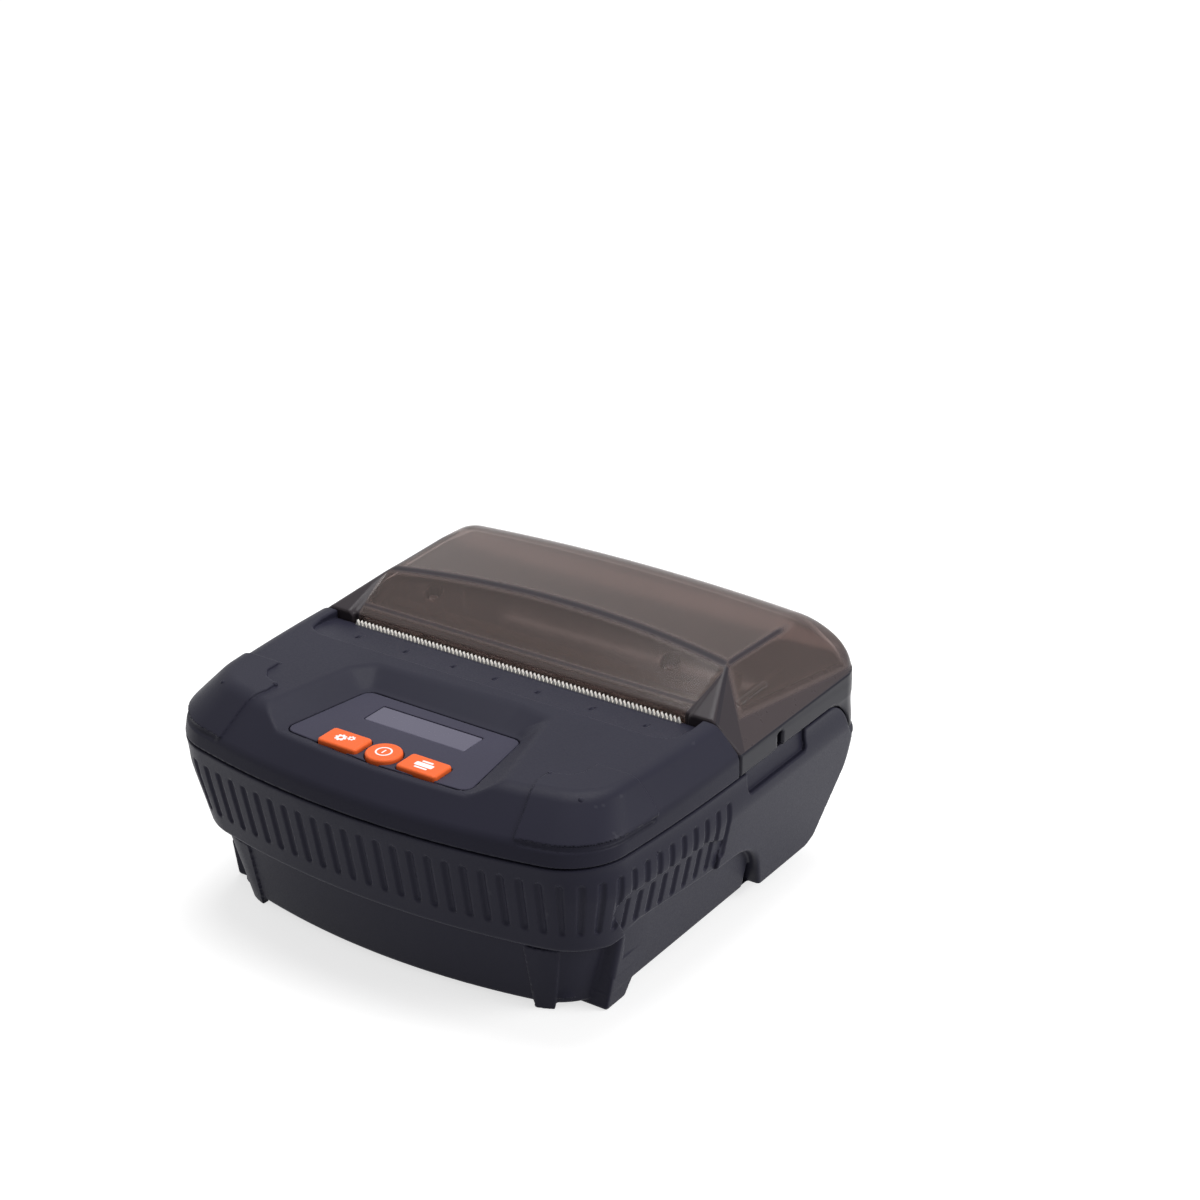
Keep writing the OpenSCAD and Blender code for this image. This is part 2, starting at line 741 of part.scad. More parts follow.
module upper_case() {
    color(black)
    difference() {
        union() {
            difference() {
                union() {
                    loft(shell_rings(0));
                    corner_pads();
                }
                loft(shell_rings(wall));
            }
            // Tub under the console recess, bosses and the lip that carries the tear bar
            intersection() {
                loft(shell_rings(0));
                union() {
                    difference() {
                        translate([0, 0, -deck_t])
                            recess_cut(deck_t);
                        box(-half_w, half_w, front_y, rear_y, 0, pocket_z - deck_t);
                    }
                    both_sides()
                        for (c = board_bosses)
                            post(c[0], c[1], board_z + board_t, deck_z, boss_r);
                    both_sides()
                        for (c = key_board_posts)
                            post(c[0], c[1], key_board_z + board_t, pocket_z, boss_r - 0.4);
                    both_sides()
                        for (c = case_columns)
                            post(c[0], c[1], column_top_z + shell_gap, deck_z, column_r);
                    along_x(-ledge_rear_w, ledge_rear_w)
                        polygon([
                            [ledge_front_y - 3, deck_z - 3], [lip_y - 2.2, lip_z - 2.2], [lip_y - 2.2,
                                tear_z_low - 1],
                            [lip_y, tear_z_low - 1], [lip_y, deck_z], [ledge_front_y - 3, deck_z]]);
                }
            }
        }
        // Straight rear edge, and the sloping ledge in front of the tear bar
        box(-big, big, seam_y - shell_gap, big, 0, big);
        box(-ledge_rear_w, ledge_rear_w, lip_y, big, 0, big);
        along_x(-ledge_w, ledge_w)
            polygon([
                [ledge_front_y, deck_z - 0.25], [lip_y, lip_z], [lip_y + 5, lip_z], [lip_y + 5, big],
                [ledge_front_y - 0.6, big], [ledge_front_y - 0.6, deck_z + 0.3]]);
        recess_cut(0);
        translate([0, 0, pocket_z])
            linear_extrude(big)
                polygon(plate_outline(key_gap));
        // Holes for the three buttons and the display
        translate([0, key_y, 0])
            cylinder(r = power_dia / 2 + key_gap, h = big);
        linear_extrude(big) {
            side_key_outline(key_gap);
            mirror([1, 0, 0])
                side_key_outline(key_gap);
        }
        box(-window_w / 2 + 0.8, window_w / 2 - 0.8, window_y - window_d / 2 + 0.8,
            window_y + window_d / 2 - 0.8, 0, big);
        both_sides()
            for (c = case_columns)
                post(c[0], c[1], column_top_z - 1, deck_z - 4, screw_r);
        both_sides()
            for (c = board_bosses)
                post(c[0], c[1], board_z, deck_z - 5, screw_r - 0.25);
        both_sides()
            for (c = key_board_posts)
                post(c[0], c[1], key_board_z, pocket_z - 0.5, screw_r - 0.45);
    }
}

module control_plate() {
    color(plate_grey)
    difference() {
        translate([0, 0, pocket_z])
            linear_extrude(plate_t)
                polygon(plate_outline(0));
        translate([0, key_y, 0])
            cylinder(r = power_dia / 2 + key_gap, h = big);
        linear_extrude(big) {
            side_key_outline(key_gap);
            mirror([1, 0, 0])
                side_key_outline(key_gap);
        }
        box(-window_w / 2, window_w / 2, window_y - window_d / 2, window_y + window_d / 2, 0, big);
    }
}

module display_lens() {
    color([0.45, 0.44, 0.52])
        box(-window_w / 2 + 0.1, window_w / 2 - 0.1, window_y - window_d / 2 + 0.1,
            window_y + window_d / 2 - 0.1,
            pocket_z, recess_z - 0.1);
}

module display_panel() {
    color([0.10, 0.10, 0.12])
        box(-window_w / 2 - 1.6, window_w / 2 + 1.6, window_y - window_d / 2 - 1.4,
            window_y + window_d / 2 + 2.2,
            key_board_z + board_t, pocket_z - deck_t - seat_gap);
}

// Buttons: a cap through the plate, a flange under the shell floor
flange_t = 0.9;
flange_top_z = pocket_z - deck_t - key_gap;
cap_top_z = recess_z + key_up;

module power_button() {
    color(orange) {
        post(0, key_y, flange_top_z, cap_top_z - 0.5, power_dia / 2);
        translate([0, key_y, cap_top_z - 0.5])
            cylinder(r1 = power_dia / 2, r2 = power_dia / 2 - 0.5, h = 0.5);
        post(0, key_y, flange_top_z - flange_t, flange_top_z, power_dia / 2 + 0.3);
    }
}

module side_button() {
    translate([0, 0, flange_top_z])
        linear_extrude(cap_top_z - flange_top_z)
            side_key_outline(0);
    intersection() {
        translate([0, 0, flange_top_z - flange_t])
            linear_extrude(flange_t)
                difference() {
                    side_key_outline(0.5);
                    translate([0, key_y])
                        circle(r = power_dia / 2 + 0.55);
                }
        box(0, big, front_y, rear_y, 0, big);
    }
}

module settings_button() {
    color(orange)
        mirror([1, 0, 0])
            side_button();
}

module feed_button() {
    color(orange)
        side_button();
}

dome_r = 2.6;
dome_top_z = flange_top_z - flange_t - key_travel - 0.1;
key_middles = [-key_x - side_key_w / 2, 0, key_x + side_key_w / 2];
module key_domes() {
    color(steel)
        for (x = key_middles)
            post(x, key_y, key_board_z + board_t, dome_top_z, dome_r);
}

module key_board() {
    color(board_green)
    difference() {
        box(-20.5, 20.5, front_y + 8, front_y + 32.4, key_board_z, key_board_z + board_t);
        both_sides()
            for (c = key_board_posts)
                post(c[0], c[1], 0, big, screw_r - 0.2);
    }
}

// Printing mechanism

tear_t = 0.6;
tear_h = 2.9;
tooth_h = 1.2;
tear_w = frame_in_w - tear_short;
module tear_bar() {
    n = floor(tear_w / tooth_pitch);
    top = tear_z_low + tear_h;
    color(steel)
        along_y(lip_y, lip_y + tear_t)
            polygon(concat(
                [[-tear_w / 2, tear_z_low], [tear_w / 2, tear_z_low], [tear_w / 2, top - tooth_h]],
                [for (i = [n - 1:-1:0]) let (x = -tear_w / 2 + i * tooth_pitch)
                    each [[x + tooth_pitch / 2, top], [x, top - tooth_h]]]));
}

platen_y = tear_y + platen_in;
hinge_arm = [platen_y - hinge_y, platen_z - hinge_z];
// Direction in which the platen leaves its seat when the cover opens
leave = unit([hinge_arm[1], -hinge_arm[0]]);
idler_reach = gear_m * (platen_teeth + idler_small_teeth) / 2;
idler_y = platen_y - leave[0] * idler_reach;
idler_z = platen_z - leave[1] * idler_reach;
motor_reach = gear_m * (pinion_teeth + idler_large_teeth) / 2;
motor_turn = 204;
motor_y = idler_y + motor_reach * cos(motor_turn);
motor_z = idler_z + motor_reach * sin(motor_turn);
leave_turn = atan2(leave[1], leave[0]);

frame_points = [
    [tear_y - 15.9, frame_foot_z], [tear_y + 2.5, frame_foot_z], [platen_y + 6.6, platen_z - 10],
    [platen_y + 6.6, platen_z + 4.5], [tear_y - 1.6, platen_z + 4.5], [tear_y - 9.1, platen_z + 5.2],
    [tear_y - 15.9, motor_z + 6]];
head_y = platen_y - platen_r - head_gap;
ceramic_t = 1.0;
plate_thick = 2.0;
pin_z = platen_z - 4.9;
head_pin_r = 1.0;
pin_y = head_y - ceramic_t - plate_thick / 2;
wall_y = tear_y - 7.9;
wall_t = 1.2;

module frame_side() {
    difference() {
        union() {
            along_x(frame_x, frame_x + frame_t)
                polygon(rounded(frame_points, 0.3, 2));
            box(frame_x - 4.8, frame_x + frame_t, tear_y - 15.9, tear_y + 2.5, frame_foot_z,
                frame_foot_z + frame_t);
        }
        // Seat of the platen bush, open in the leaving direction and flared at its mouth
        rod_x(frame_x - 1, frame_x + frame_t + 1, platen_y, platen_z, bush_r + run_gap);
        along_x(frame_x - 1, frame_x + frame_t + 1)
            polygon([
                [platen_y, platen_z] + (bush_r + run_gap + 0.02) * [-leave[1], leave[0]],
                [platen_y, platen_z] + (bush_r + run_gap + 0.02) * [leave[1], -leave[0]],
                [platen_y, platen_z] + (bush_r + 1.6) * [leave[1], -leave[0]] + 9 * leave,
                [platen_y, platen_z] + (bush_r + 0.3) * [-leave[1], leave[0]] + 9 * leave]);
        rod_x(frame_x - 1, frame_x + frame_t + 1, pin_y, pin_z, head_pin_r);
        for (c = frame_posts)
            post(c[0], c[1], frame_foot_z - 1, frame_foot_z + frame_t + 1, screw_r + 0.15);
    }
}

module mechanism_frame() {
    color([0.18, 0.18, 0.20])
    difference() {
        union() {
            both_sides()
                frame_side();
            box(-frame_x - 0.5, frame_x + 0.5, wall_y, wall_y + wall_t, platen_z - 4, platen_z + 5);
        }
        rod_x(0, frame_x + frame_t + 1, idler_y, idler_z, head_pin_r);
        rod_x(frame_x - 1, frame_x + frame_t + 1, motor_y, motor_z, 3);
    }
}

head_low_z = pin_z - 1.3;
head_top_z = platen_z + 4.4;
module head_plate() {
    color([0.70, 0.71, 0.73])
    difference() {
        union() {
            box(3 - frame_x, frame_x - 3, pin_y - plate_thick / 2, pin_y + plate_thick / 2, head_low_z,
                head_top_z);
            both_sides()
                rod_x(frame_x - 4, frame_x - 0.6, pin_y, pin_z, head_pin_r + 1);
        }
        both_sides()
            rod_x(frame_x - 4.5, frame_x, pin_y, pin_z, head_pin_r + run_gap);
    }
}

module print_head() {
    color([0.20, 0.22, 0.25])
        box(3.5 - frame_x, frame_x - 3.5, head_y - ceramic_t, head_y, platen_z - 3.6, platen_z + 3.4);
}

module head_pin() {
    color(steel)
        both_sides()
            rod_x(frame_x - 4.3, frame_x + frame_t, pin_y, pin_z, head_pin_r);
}

// Compression springs behind the print head, each one unbroken wire
spring_turns = 4;
spring_r = 1.7;
spring_wire = 0.25;
spring_sides = 6;
spring_steps = 10;
spring_l = pin_y - plate_thick / 2 - wall_y - wall_t - 2 * seat_gap;
spring_z = platen_z + 2;
spring_x = 20;
module coil(length, r, wire, turns) {
    n = turns * spring_steps;
    function centre(i) = [r * cos(i * 360 / spring_steps), r * sin(i * 360 / spring_steps),
        wire + (length - 2 * wire) * i / n];
    points = [for (i = [0:n]) let (a = i * 360 / spring_steps) let (c = centre(i))
        for (k = [0:spring_sides - 1]) let (b = k * 360 / spring_sides)
            c + wire * [cos(a) * cos(b), sin(a) * cos(b), sin(b)]];
    polyhedron(
        points = points,
        faces = concat(
            [[for (k = [0:spring_sides - 1]) k]],
            [[for (k = [0:spring_sides - 1]) n * spring_sides + spring_sides - 1 - k]],
            [for (i = [0:n - 1]) for (k = [0:spring_sides - 1]) let (j = (k + 1) % spring_sides)
                [i * spring_sides + k, (i + 1) * spring_sides + k, (i + 1) * spring_sides + j]],
            [for (i = [0:n - 1]) for (k = [0:spring_sides - 1]) let (j = (k + 1) % spring_sides)
                [i * spring_sides + k, (i + 1) * spring_sides + j, i * spring_sides + j]]));
}
module head_springs() {
    color(steel)
        for (x = [-spring_x, spring_x])
            translate([x, wall_y + wall_t + seat_gap, spring_z])
                rotate([-90, 0, 0])
                    coil(spring_l, spring_r, spring_wire, spring_turns);
}

// Spur wheel with trapezoid teeth in the plane of Y and Z, tooth or gap towards the angle aim
function wheel_points(teeth, aim, gap) =
    let (r = gear_m * teeth / 2)
    let (p = 360 / teeth)
    [for (i = [0:teeth - 1]) let (a = aim + (i + gap / 2) * p)
        each [
            (r - 1.2 * gear_m) * [cos(a - 0.30 * p), sin(a - 0.30 * p)],
            (r + 0.8 * gear_m) * [cos(a - 0.10 * p), sin(a - 0.10 * p)],
            (r + 0.8 * gear_m) * [cos(a + 0.10 * p), sin(a + 0.10 * p)],
            (r - 1.2 * gear_m) * [cos(a + 0.30 * p), sin(a + 0.30 * p)]]];

module wheel(x0, x1, y, z, teeth, aim, gap) {
    along_x(x0, x1)
        translate([y, z])
            polygon(wheel_points(teeth, aim, gap));
}

small_x = frame_x + frame_t + 0.4;
small_t = 2.2;
large_x = small_x + small_t + 0.4;
large_t = 1.8;
large_end_x = large_x + large_t;
motor_shaft_r = 0.75;
module stepper_motor() {
    color(steel) {
        rod_x(frame_x - motor_l, frame_x, motor_y, motor_z, motor_r);
        rod_x(frame_x - motor_l - 0.6, frame_x - motor_l, motor_y, motor_z, 2.5);
        rod_x(frame_x, frame_x + frame_t - 0.2, motor_y, motor_z, 2.8);
    }
}

module motor_pinion() {
    color([0.80, 0.68, 0.35])
        union() {
            wheel(large_x, large_end_x, motor_y, motor_z, pinion_teeth, motor_turn - 180, 0);
            rod_x(frame_x + frame_t, large_end_x + 0.3, motor_y, motor_z, motor_shaft_r + 0.6);
        }
}

module idler_gear() {
    color(nylon)
    difference() {
        union() {
            wheel(large_x, large_end_x, idler_y, idler_z, idler_large_teeth, motor_turn, 1);
            wheel(small_x, large_x + 0.1, idler_y, idler_z, idler_small_teeth, leave_turn, 0);
        }
        rod_x(small_x - 1, large_end_x + 1, idler_y, idler_z, head_pin_r + run_gap);
    }
}

module idler_pin() {
    color(steel) {
        rod_x(frame_x, large_end_x + 0.2, idler_y, idler_z, head_pin_r);
        rod_x(large_end_x + 0.2, large_end_x + 0.7, idler_y, idler_z, head_pin_r + 0.8);
    }
}

platen_l = frame_in_w - platen_short;
module platen_rubber() {
    color([0.08, 0.08, 0.09])
    difference() {
        rod_x(-platen_l / 2, platen_l / 2, platen_y, platen_z, platen_r);
        rod_x(-platen_l, platen_l, platen_y, platen_z, platen_shaft_r);
    }
}

module platen_shaft() {
    color(steel)
        rod_x(-frame_x - frame_t - 0.8, small_x + small_t - 0.1, platen_y, platen_z, platen_shaft_r);
}

module platen_gear() {
    color(nylon)
    difference() {
        wheel(small_x + 0.1, small_x + small_t - 0.1, platen_y, platen_z, platen_teeth,
            leave_turn + 180, 1);
        rod_x(0, big, platen_y, platen_z, platen_shaft_r);
    }
}

module platen_bushes() {
    color(nylon)
        both_sides()
            difference() {
                rod_x(frame_x - 0.2, frame_x + frame_t + 0.2, platen_y, platen_z, bush_r);
                rod_x(0, big, platen_y, platen_z, platen_shaft_r + run_gap);
            }
}

// Bracket under the cover that holds the platen
arm_x1 = frame_x - 0.7;
arm_x0 = arm_x1 - 2.1;
bar_y0 = platen_y + 6.2;
bar_y1 = platen_y + 9.6;
bar_z0 = 44.4;
bar_z1 = 46.4;
carrier_boss_x = frame_x - 14;
carrier_boss_y = (bar_y0 + bar_y1) / 2;
module platen_carrier() {
    color([0.10, 0.10, 0.12])
    difference() {
        union() {
            box(-arm_x1, arm_x1, bar_y0, bar_y1, bar_z0, bar_z1);
            both_sides()
                along_x(arm_x0, arm_x1)
                    polygon([
                        [platen_y - 3.4, platen_z - 1], [platen_y - 2, platen_z - 3.4], [platen_y + 2,
                            platen_z - 3.4],
                        [platen_y + 4, platen_z - 1], [bar_y1, bar_z0], [tear_y + crease_in, bar_z0 + 3],
                        [tear_y + crease_in, crease_z - 3.6], [tear_y + crease_in - 2, crease_z - 3.4],
                        [platen_y - 1.4, bar_z0 + 0.8], [platen_y - 3.4, platen_z + 3]]);
        }
        rod_x(-big, big, platen_y, platen_z, platen_shaft_r + run_gap);
        both_sides()
            post(carrier_boss_x, carrier_boss_y, 0, big, screw_r + 0.1);
    }
}

// Roll cover

cover_low_z = hinge_z - 4;
function cover_front_view(t) = let (w = half_w - t)
    concat(
        [[-w + side_draft * (part_z - cover_low_z), cover_low_z],
            [w - side_draft * (part_z - cover_low_z), cover_low_z],
            [w, part_z], [w, strip_z - 0.35 * t]],
        [[crease_x - 0.35 * t, crease_z - t]],
        [for (i = [1:9]) let (x = (crease_x - 0.35 * t) * (1 - i / 5))
            [x, crease_z - t + (crown_z - crease_z) * (1 - (1 - i / 5) * (1 - i / 5))]],
        [[-crease_x + 0.35 * t, crease_z - t], [-w, strip_z - 0.35 * t], [-w, part_z]]);

cut_r = barrel_r + 0.4;
cover_low = [
    each arc(turn_y, part_z - turn_r, turn_r + shell_gap, 90, 15, 8),
    each arc(hinge_y, hinge_z, cut_r, 120, 50, 4),
    [rear_y, hinge_z + hinge_in * tan(50)]];
function cover_side_view(t) = concat(
    [[seam_y + t, t > 0 ? 0 : part_z + shell_gap]],
    t > 0 ? [[rear_y - t, 0]] : cover_low,
    arc(rear_y - shoulder_r, crown_z - shoulder_r, shoulder_r - t, 0, 90, 8),
    [[tear_y + crease_in, crown_z - t], [seam_y + t, cover_front_z - 1.1 * t]]);

module cover_solid(t) {
    intersection() {
        along_y(front_y, rear_y)
            polygon(cover_front_view(t));
        along_x(-half_w, half_w)
            polygon(cover_side_view(t));
        linear_extrude(big)
            polygon(concat(
                [[-half_w + t, 0], [half_w - t, 0]],
                arc(half_w - rear_r, rear_y - rear_r, rear_r - t, 0, 90, 6),
                arc(rear_r - half_w, rear_y - rear_r, rear_r - t, 90, 180, 6)));
    }
}

knuckle_x0 = barrel_in_x + seat_gap;
knuckle_x1 = barrel_out_x;
front_wall_x = half_w - 7.5;
mouth_y = tear_y + 1.5;
module roll_cover() {
    color(smoke)
    difference() {
        union() {
            difference() {
                cover_solid(0);
                cover_solid(cover_wall);
                // The front edge stops above the platen
                box(-front_wall_x, front_wall_x, 0, seam_y + cover_wall + 3, 0,
                    platen_z + platen_r + 1.3);
                box(-ledge_rear_w, ledge_rear_w, 0, mouth_y, 0, big);
                // Finger notch in the strip
                both_sides()
                    box(half_w - cover_wall - 1, half_w + 1, seam_y + 12.5, seam_y + 14, 0, part_z + 2.6);
            }
            intersection() {
                both_sides()
                    difference() {
                        union() {
                            rod_x(knuckle_x0, knuckle_x1, hinge_y, hinge_z, barrel_r);
                            along_x(knuckle_x0, knuckle_x1)
                                polygon([
                                    [hinge_y - 1.2, hinge_z + 2.8], [hinge_y + 2.6, hinge_z + 2.0],
                                    [rear_y - 0.6, hinge_z + 4.6], [rear_y - cover_wall, hinge_z + 8]]);
                        }
                    }
                box(-half_w, half_w, front_y, rear_y - 0.2, 0, big);
            }
            // Bosses for the platen bracket
            intersection() {
                cover_solid(0.5);
                both_sides()
                    post(carrier_boss_x, carrier_boss_y, bar_z1, crown_z, 2.6);
            }
        }
        both_sides()
            rod_x(knuckle_x0 - 1, knuckle_x1 + 1, hinge_y, hinge_z, hinge_pin_r + run_gap);
        both_sides()
            post(carrier_boss_x, carrier_boss_y, bar_z1 - 1, bar_z1 + 3, screw_r - 0.25);
    }
}

module hinge_pins() {
    color(steel)
        both_sides()
            rod_x(barrel_in_x - 3, inner_side_x(hinge_z), hinge_y, hinge_z, hinge_pin_r);
}

// Roll bay

bay_front_z = platen_z - 6.5;
bay_rear_z = bay_z - 6.5;
cheek_x = (frame_in_w - bay_short) / 2;
module paper_bay() {
    color([0.16, 0.16, 0.18])
    union() {
        along_x(-cheek_x, cheek_x)
            difference() {
                union() {
                    intersection() {
                        translate([bay_y, bay_z])
                            circle(r = bay_r + bay_t, $fn = 96);
                        translate([bay_y - 100, bay_z - 100])
                            square([200, 100]);
                    }
                    translate([bay_y - bay_r - bay_t, bay_z])
                        square([bay_t, bay_front_z - bay_z]);
                }
                translate([bay_y, bay_z])
                    circle(r = bay_r, $fn = 96);
                translate([bay_y + 5, bay_rear_z])
                    square([100, 100]);
            }
        both_sides()
            along_x(cheek_x, cheek_x + bay_t)
                difference() {
                    polygon(rounded([
                        [bay_y - bay_r - bay_t, bay_z - 12], [bay_y - 9, bay_z - bay_r - bay_t],
                        [bay_y + 9, bay_z - bay_r - bay_t], [bay_y + bay_r - 3, bay_rear_z - 6],
                        [bay_y + bay_r - 1.4, bay_rear_z + 2], [bay_y + 14, part_z + 3], [bay_y + 11,
                            part_z + 6],
                        [bay_y - 6, part_z + 6], [bay_y - 9, part_z - 1.5],
                        [bay_y - bay_r - bay_t, bay_front_z]], 1, 2));
                }
    }
}

sensor_w = 6;
sensor_d = 2.4;
sensor_h = 4;
module paper_sensor() {
    color([0.05, 0.05, 0.06])
        box(-sensor_w / 2, sensor_w / 2, bay_front_y - sensor_d, bay_front_y,
            bay_front_z - 1.5 - sensor_h, bay_front_z - 1.5);
}

// Electronics and battery

board_y = front_y + 8.5;
board_d = 26.9;
plug_x = board_half_w - 5.6;
plug_w = 10;
plug_d = 4;
plug_h = 5;
module board_part(x, y, w, d, h) {
    box(x, x + w, board_y + y, board_y + y + d, board_z - h, board_z);
}

module main_board() {
    color(board_green)
    difference() {
        union() {
            box(-board_half_w, board_half_w, board_y, board_y + board_d, board_z, board_z + board_t);
            // Processor, power chip, two plugs and two capacitors
            board_part(-14, 5.5, 12, 12, 1.6);
            board_part(4, 3.5, 8, 8, 1.2);
            board_part(plug_x - plug_w, 4.5, plug_w, plug_d, plug_h);
            board_part(-plug_x, 3.5, plug_w, plug_d, plug_h);
            for (x = [14.5, 23])
                post(x, board_y + 18.5, board_z - 7, board_z, 3.1);
        }
        both_sides()
            for (c = board_bosses)
                post(c[0], c[1], 0, big, screw_r);
    }
}

module battery_pack() {
    color([0.20, 0.30, 0.55])
        translate([battery_x, battery_y, battery_z])
            along_x(0, battery_w)
                polygon(rounded([[0, 0], [battery_d, 0], [battery_d, battery_h], [0, battery_h]], 5, 6));
}

module battery_door() {
    color(black)
    difference() {
        union() {
            box(hatch_x0 - door_lip, hatch_x1 + ear_w, hatch_y0 - door_lip, hatch_y1 + door_lip,
                floor_z - 0.2, floor_z + door_t);
            box(hatch_x0 + door_gap, hatch_x1 - door_gap, hatch_y0 + door_gap, hatch_y1 - door_gap,
                floor_z + door_t, floor_z + floor_t);
        }
        for (y = door_screws_y)
            post(door_screw_x, y, 0, big, screw_r);
        // Finger grooves across the free end of the door
        for (i = [0:3])
            box(hatch_x0 + 1 + 3 * i, hatch_x0 + 2.2 + 3 * i, hatch_y0 + 8, hatch_y1 - 8, 0,
                floor_z + 0.4);
    }
}

module screw(x, y, z, r, length, cap_r, cap_h) {
    post(x, y, z, z + cap_h, cap_r);
    post(x, y, z + cap_h, z + cap_h + length, r);
}

module door_screws() {
    color(steel)
        for (y = door_screws_y)
            screw(door_screw_x, y, floor_z - 1.2, screw_r - 0.25, 6, head_r - 0.3, 1);
}

module case_screws() {
    color(steel)
        both_sides()
            for (c = case_columns)
                screw(c[0], c[1], floor_z + 1.2, screw_r, 32, head_r, 1.8);
}

module frame_screws() {
    color(steel)
        both_sides()
            for (c = frame_posts) {
                post(c[0], c[1], frame_foot_z - 6, frame_foot_z + frame_t, screw_r);
                post(c[0], c[1], frame_foot_z + frame_t, frame_foot_z + frame_t + 1.4, 2.1);
            }
}

module board_screws() {
    color(steel)
        both_sides()
            for (c = board_bosses) {
                post(c[0], c[1], board_z, board_z + board_t + 5, screw_r - 0.25);
                post(c[0], c[1], board_z - 1.3, board_z, 2.1);
            }
    color(steel)
        both_sides()
            for (c = key_board_posts) {
                post(c[0], c[1], key_board_z, pocket_z - 0.6, screw_r - 0.45);
                post(c[0], c[1], key_board_z - 1, key_board_z, 1.7);
            }
}

module carrier_screws() {
    color(steel)
        both_sides() {
            post(carrier_boss_x, carrier_boss_y, bar_z0, bar_z1 + 2.8, screw_r - 0.25);
            post(carrier_boss_x, carrier_boss_y, bar_z0 - 1.3, bar_z0, 2.1);
        }
}

module port_board() {
    color(board_green)
        box(-port_board_x - port_board_t, -port_board_x, port_y - port_board_w / 2,
            port_y + port_board_w / 2,
            port_z - 7, port_z + 6);
}

module usb_port() {
    color(steel)
    difference() {
        box(-side_x(port_z) + 1.0, -port_board_x - port_board_t, port_y - 4.5, port_y + 4.5,
            port_z - 1.6, port_z + 1.6);
        box(-side_x(port_z), -port_board_x - port_board_t - 1, port_y - 4.2, port_y + 4.2,
            port_z - 1.3, port_z - 0.35);
        box(-side_x(port_z), -port_board_x - port_board_t - 1, port_y - 4.2, port_y + 4.2,
            port_z + 0.35, port_z + 1.3);
    }
}

foot_x = half_w - 15.5;
foot_r = 4.5;
module rubber_feet() {
    color([0.07, 0.07, 0.08])
        both_sides() {
            post(foot_x, rear_y - 22, 0, bay_floor_z, foot_r);
            post(foot_x, rear_y - 22, bay_floor_z, bay_floor_z + 1.6, 1);
        }
}

lower_case();
upper_case();
roll_cover();
control_plate();
display_lens();
display_panel();
settings_button();
power_button();
feed_button();
key_domes();
key_board();
tear_bar();
mechanism_frame();
head_plate();
print_head();
head_pin();
head_springs();
stepper_motor();
motor_pinion();
idler_gear();
idler_pin();
platen_rubber();
platen_shaft();
platen_gear();
platen_bushes();
platen_carrier();
hinge_pins();
paper_bay();
paper_sensor();
main_board();
battery_pack();
battery_door();
door_screws();
case_screws();
frame_screws();
board_screws();
carrier_screws();
port_board();
usb_port();
rubber_feet();
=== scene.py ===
"""Looks of a mobile receipt printer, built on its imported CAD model.

Shapes are worked out in millimetres and stored in metres. The shells, the console and the keys come from distance
fields and stand for the CAD solids that they replace. The other solids keep their shape and get a finish.
"""
import functools
import json
import math

import bmesh
import bpy
import numpy as np
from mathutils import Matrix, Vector


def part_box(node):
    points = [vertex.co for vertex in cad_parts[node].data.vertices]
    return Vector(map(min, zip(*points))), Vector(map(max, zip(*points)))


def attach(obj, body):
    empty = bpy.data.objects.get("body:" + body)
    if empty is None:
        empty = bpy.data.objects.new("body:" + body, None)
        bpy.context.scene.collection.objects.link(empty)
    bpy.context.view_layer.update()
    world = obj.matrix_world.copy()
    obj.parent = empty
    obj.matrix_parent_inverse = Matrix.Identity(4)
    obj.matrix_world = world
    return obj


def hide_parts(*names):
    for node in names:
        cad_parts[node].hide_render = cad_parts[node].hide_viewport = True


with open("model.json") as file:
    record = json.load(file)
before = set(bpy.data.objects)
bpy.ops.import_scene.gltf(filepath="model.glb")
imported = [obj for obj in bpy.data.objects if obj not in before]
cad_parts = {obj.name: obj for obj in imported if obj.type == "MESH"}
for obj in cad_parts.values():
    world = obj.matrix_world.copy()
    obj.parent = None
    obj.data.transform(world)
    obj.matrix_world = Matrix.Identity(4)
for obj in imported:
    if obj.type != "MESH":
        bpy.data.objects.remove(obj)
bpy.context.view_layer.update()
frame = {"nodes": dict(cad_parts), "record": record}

MM = 0.001
scene = bpy.context.scene
nodes = frame["nodes"]
node_body = {n: b for b, names in frame["record"]["behaviour"]["bodies"].items() for n in names}
node_slot = {s["node"]: s["material_slot"] for s in frame["record"]["subparts"]}


# Camera at the photograph's viewing angle, in radians and metres

CAMERA_TURN, CAMERA_TILT, CAMERA_DISTANCE = 0.5916573, 0.4352436, 0.59313
CAMERA_TARGET = (-0.004202, 0.040401, 0.0467)
LENS, SENSOR_WIDTH = 81.83, 36


def make_camera():
    level = math.cos(CAMERA_TILT)
    look = Vector((-math.sin(CAMERA_TURN) * level, math.cos(CAMERA_TURN) * level, -math.sin(CAMERA_TILT)))
    data = bpy.data.cameras.new("camera")
    data.lens = LENS
    data.sensor_width = SENSOR_WIDTH
    data.clip_start, data.clip_end = 0.01, 20
    camera = bpy.data.objects.new("camera", data)
    scene.collection.objects.link(camera)
    camera.location = Vector(CAMERA_TARGET) - look * CAMERA_DISTANCE
    camera.rotation_mode = "QUATERNION"
    camera.rotation_quaternion = look.to_track_quat("-Z", "Y")
    scene.camera = camera


make_camera()

# Measures of the printer, in millimetres: front towards -Y, up +Z

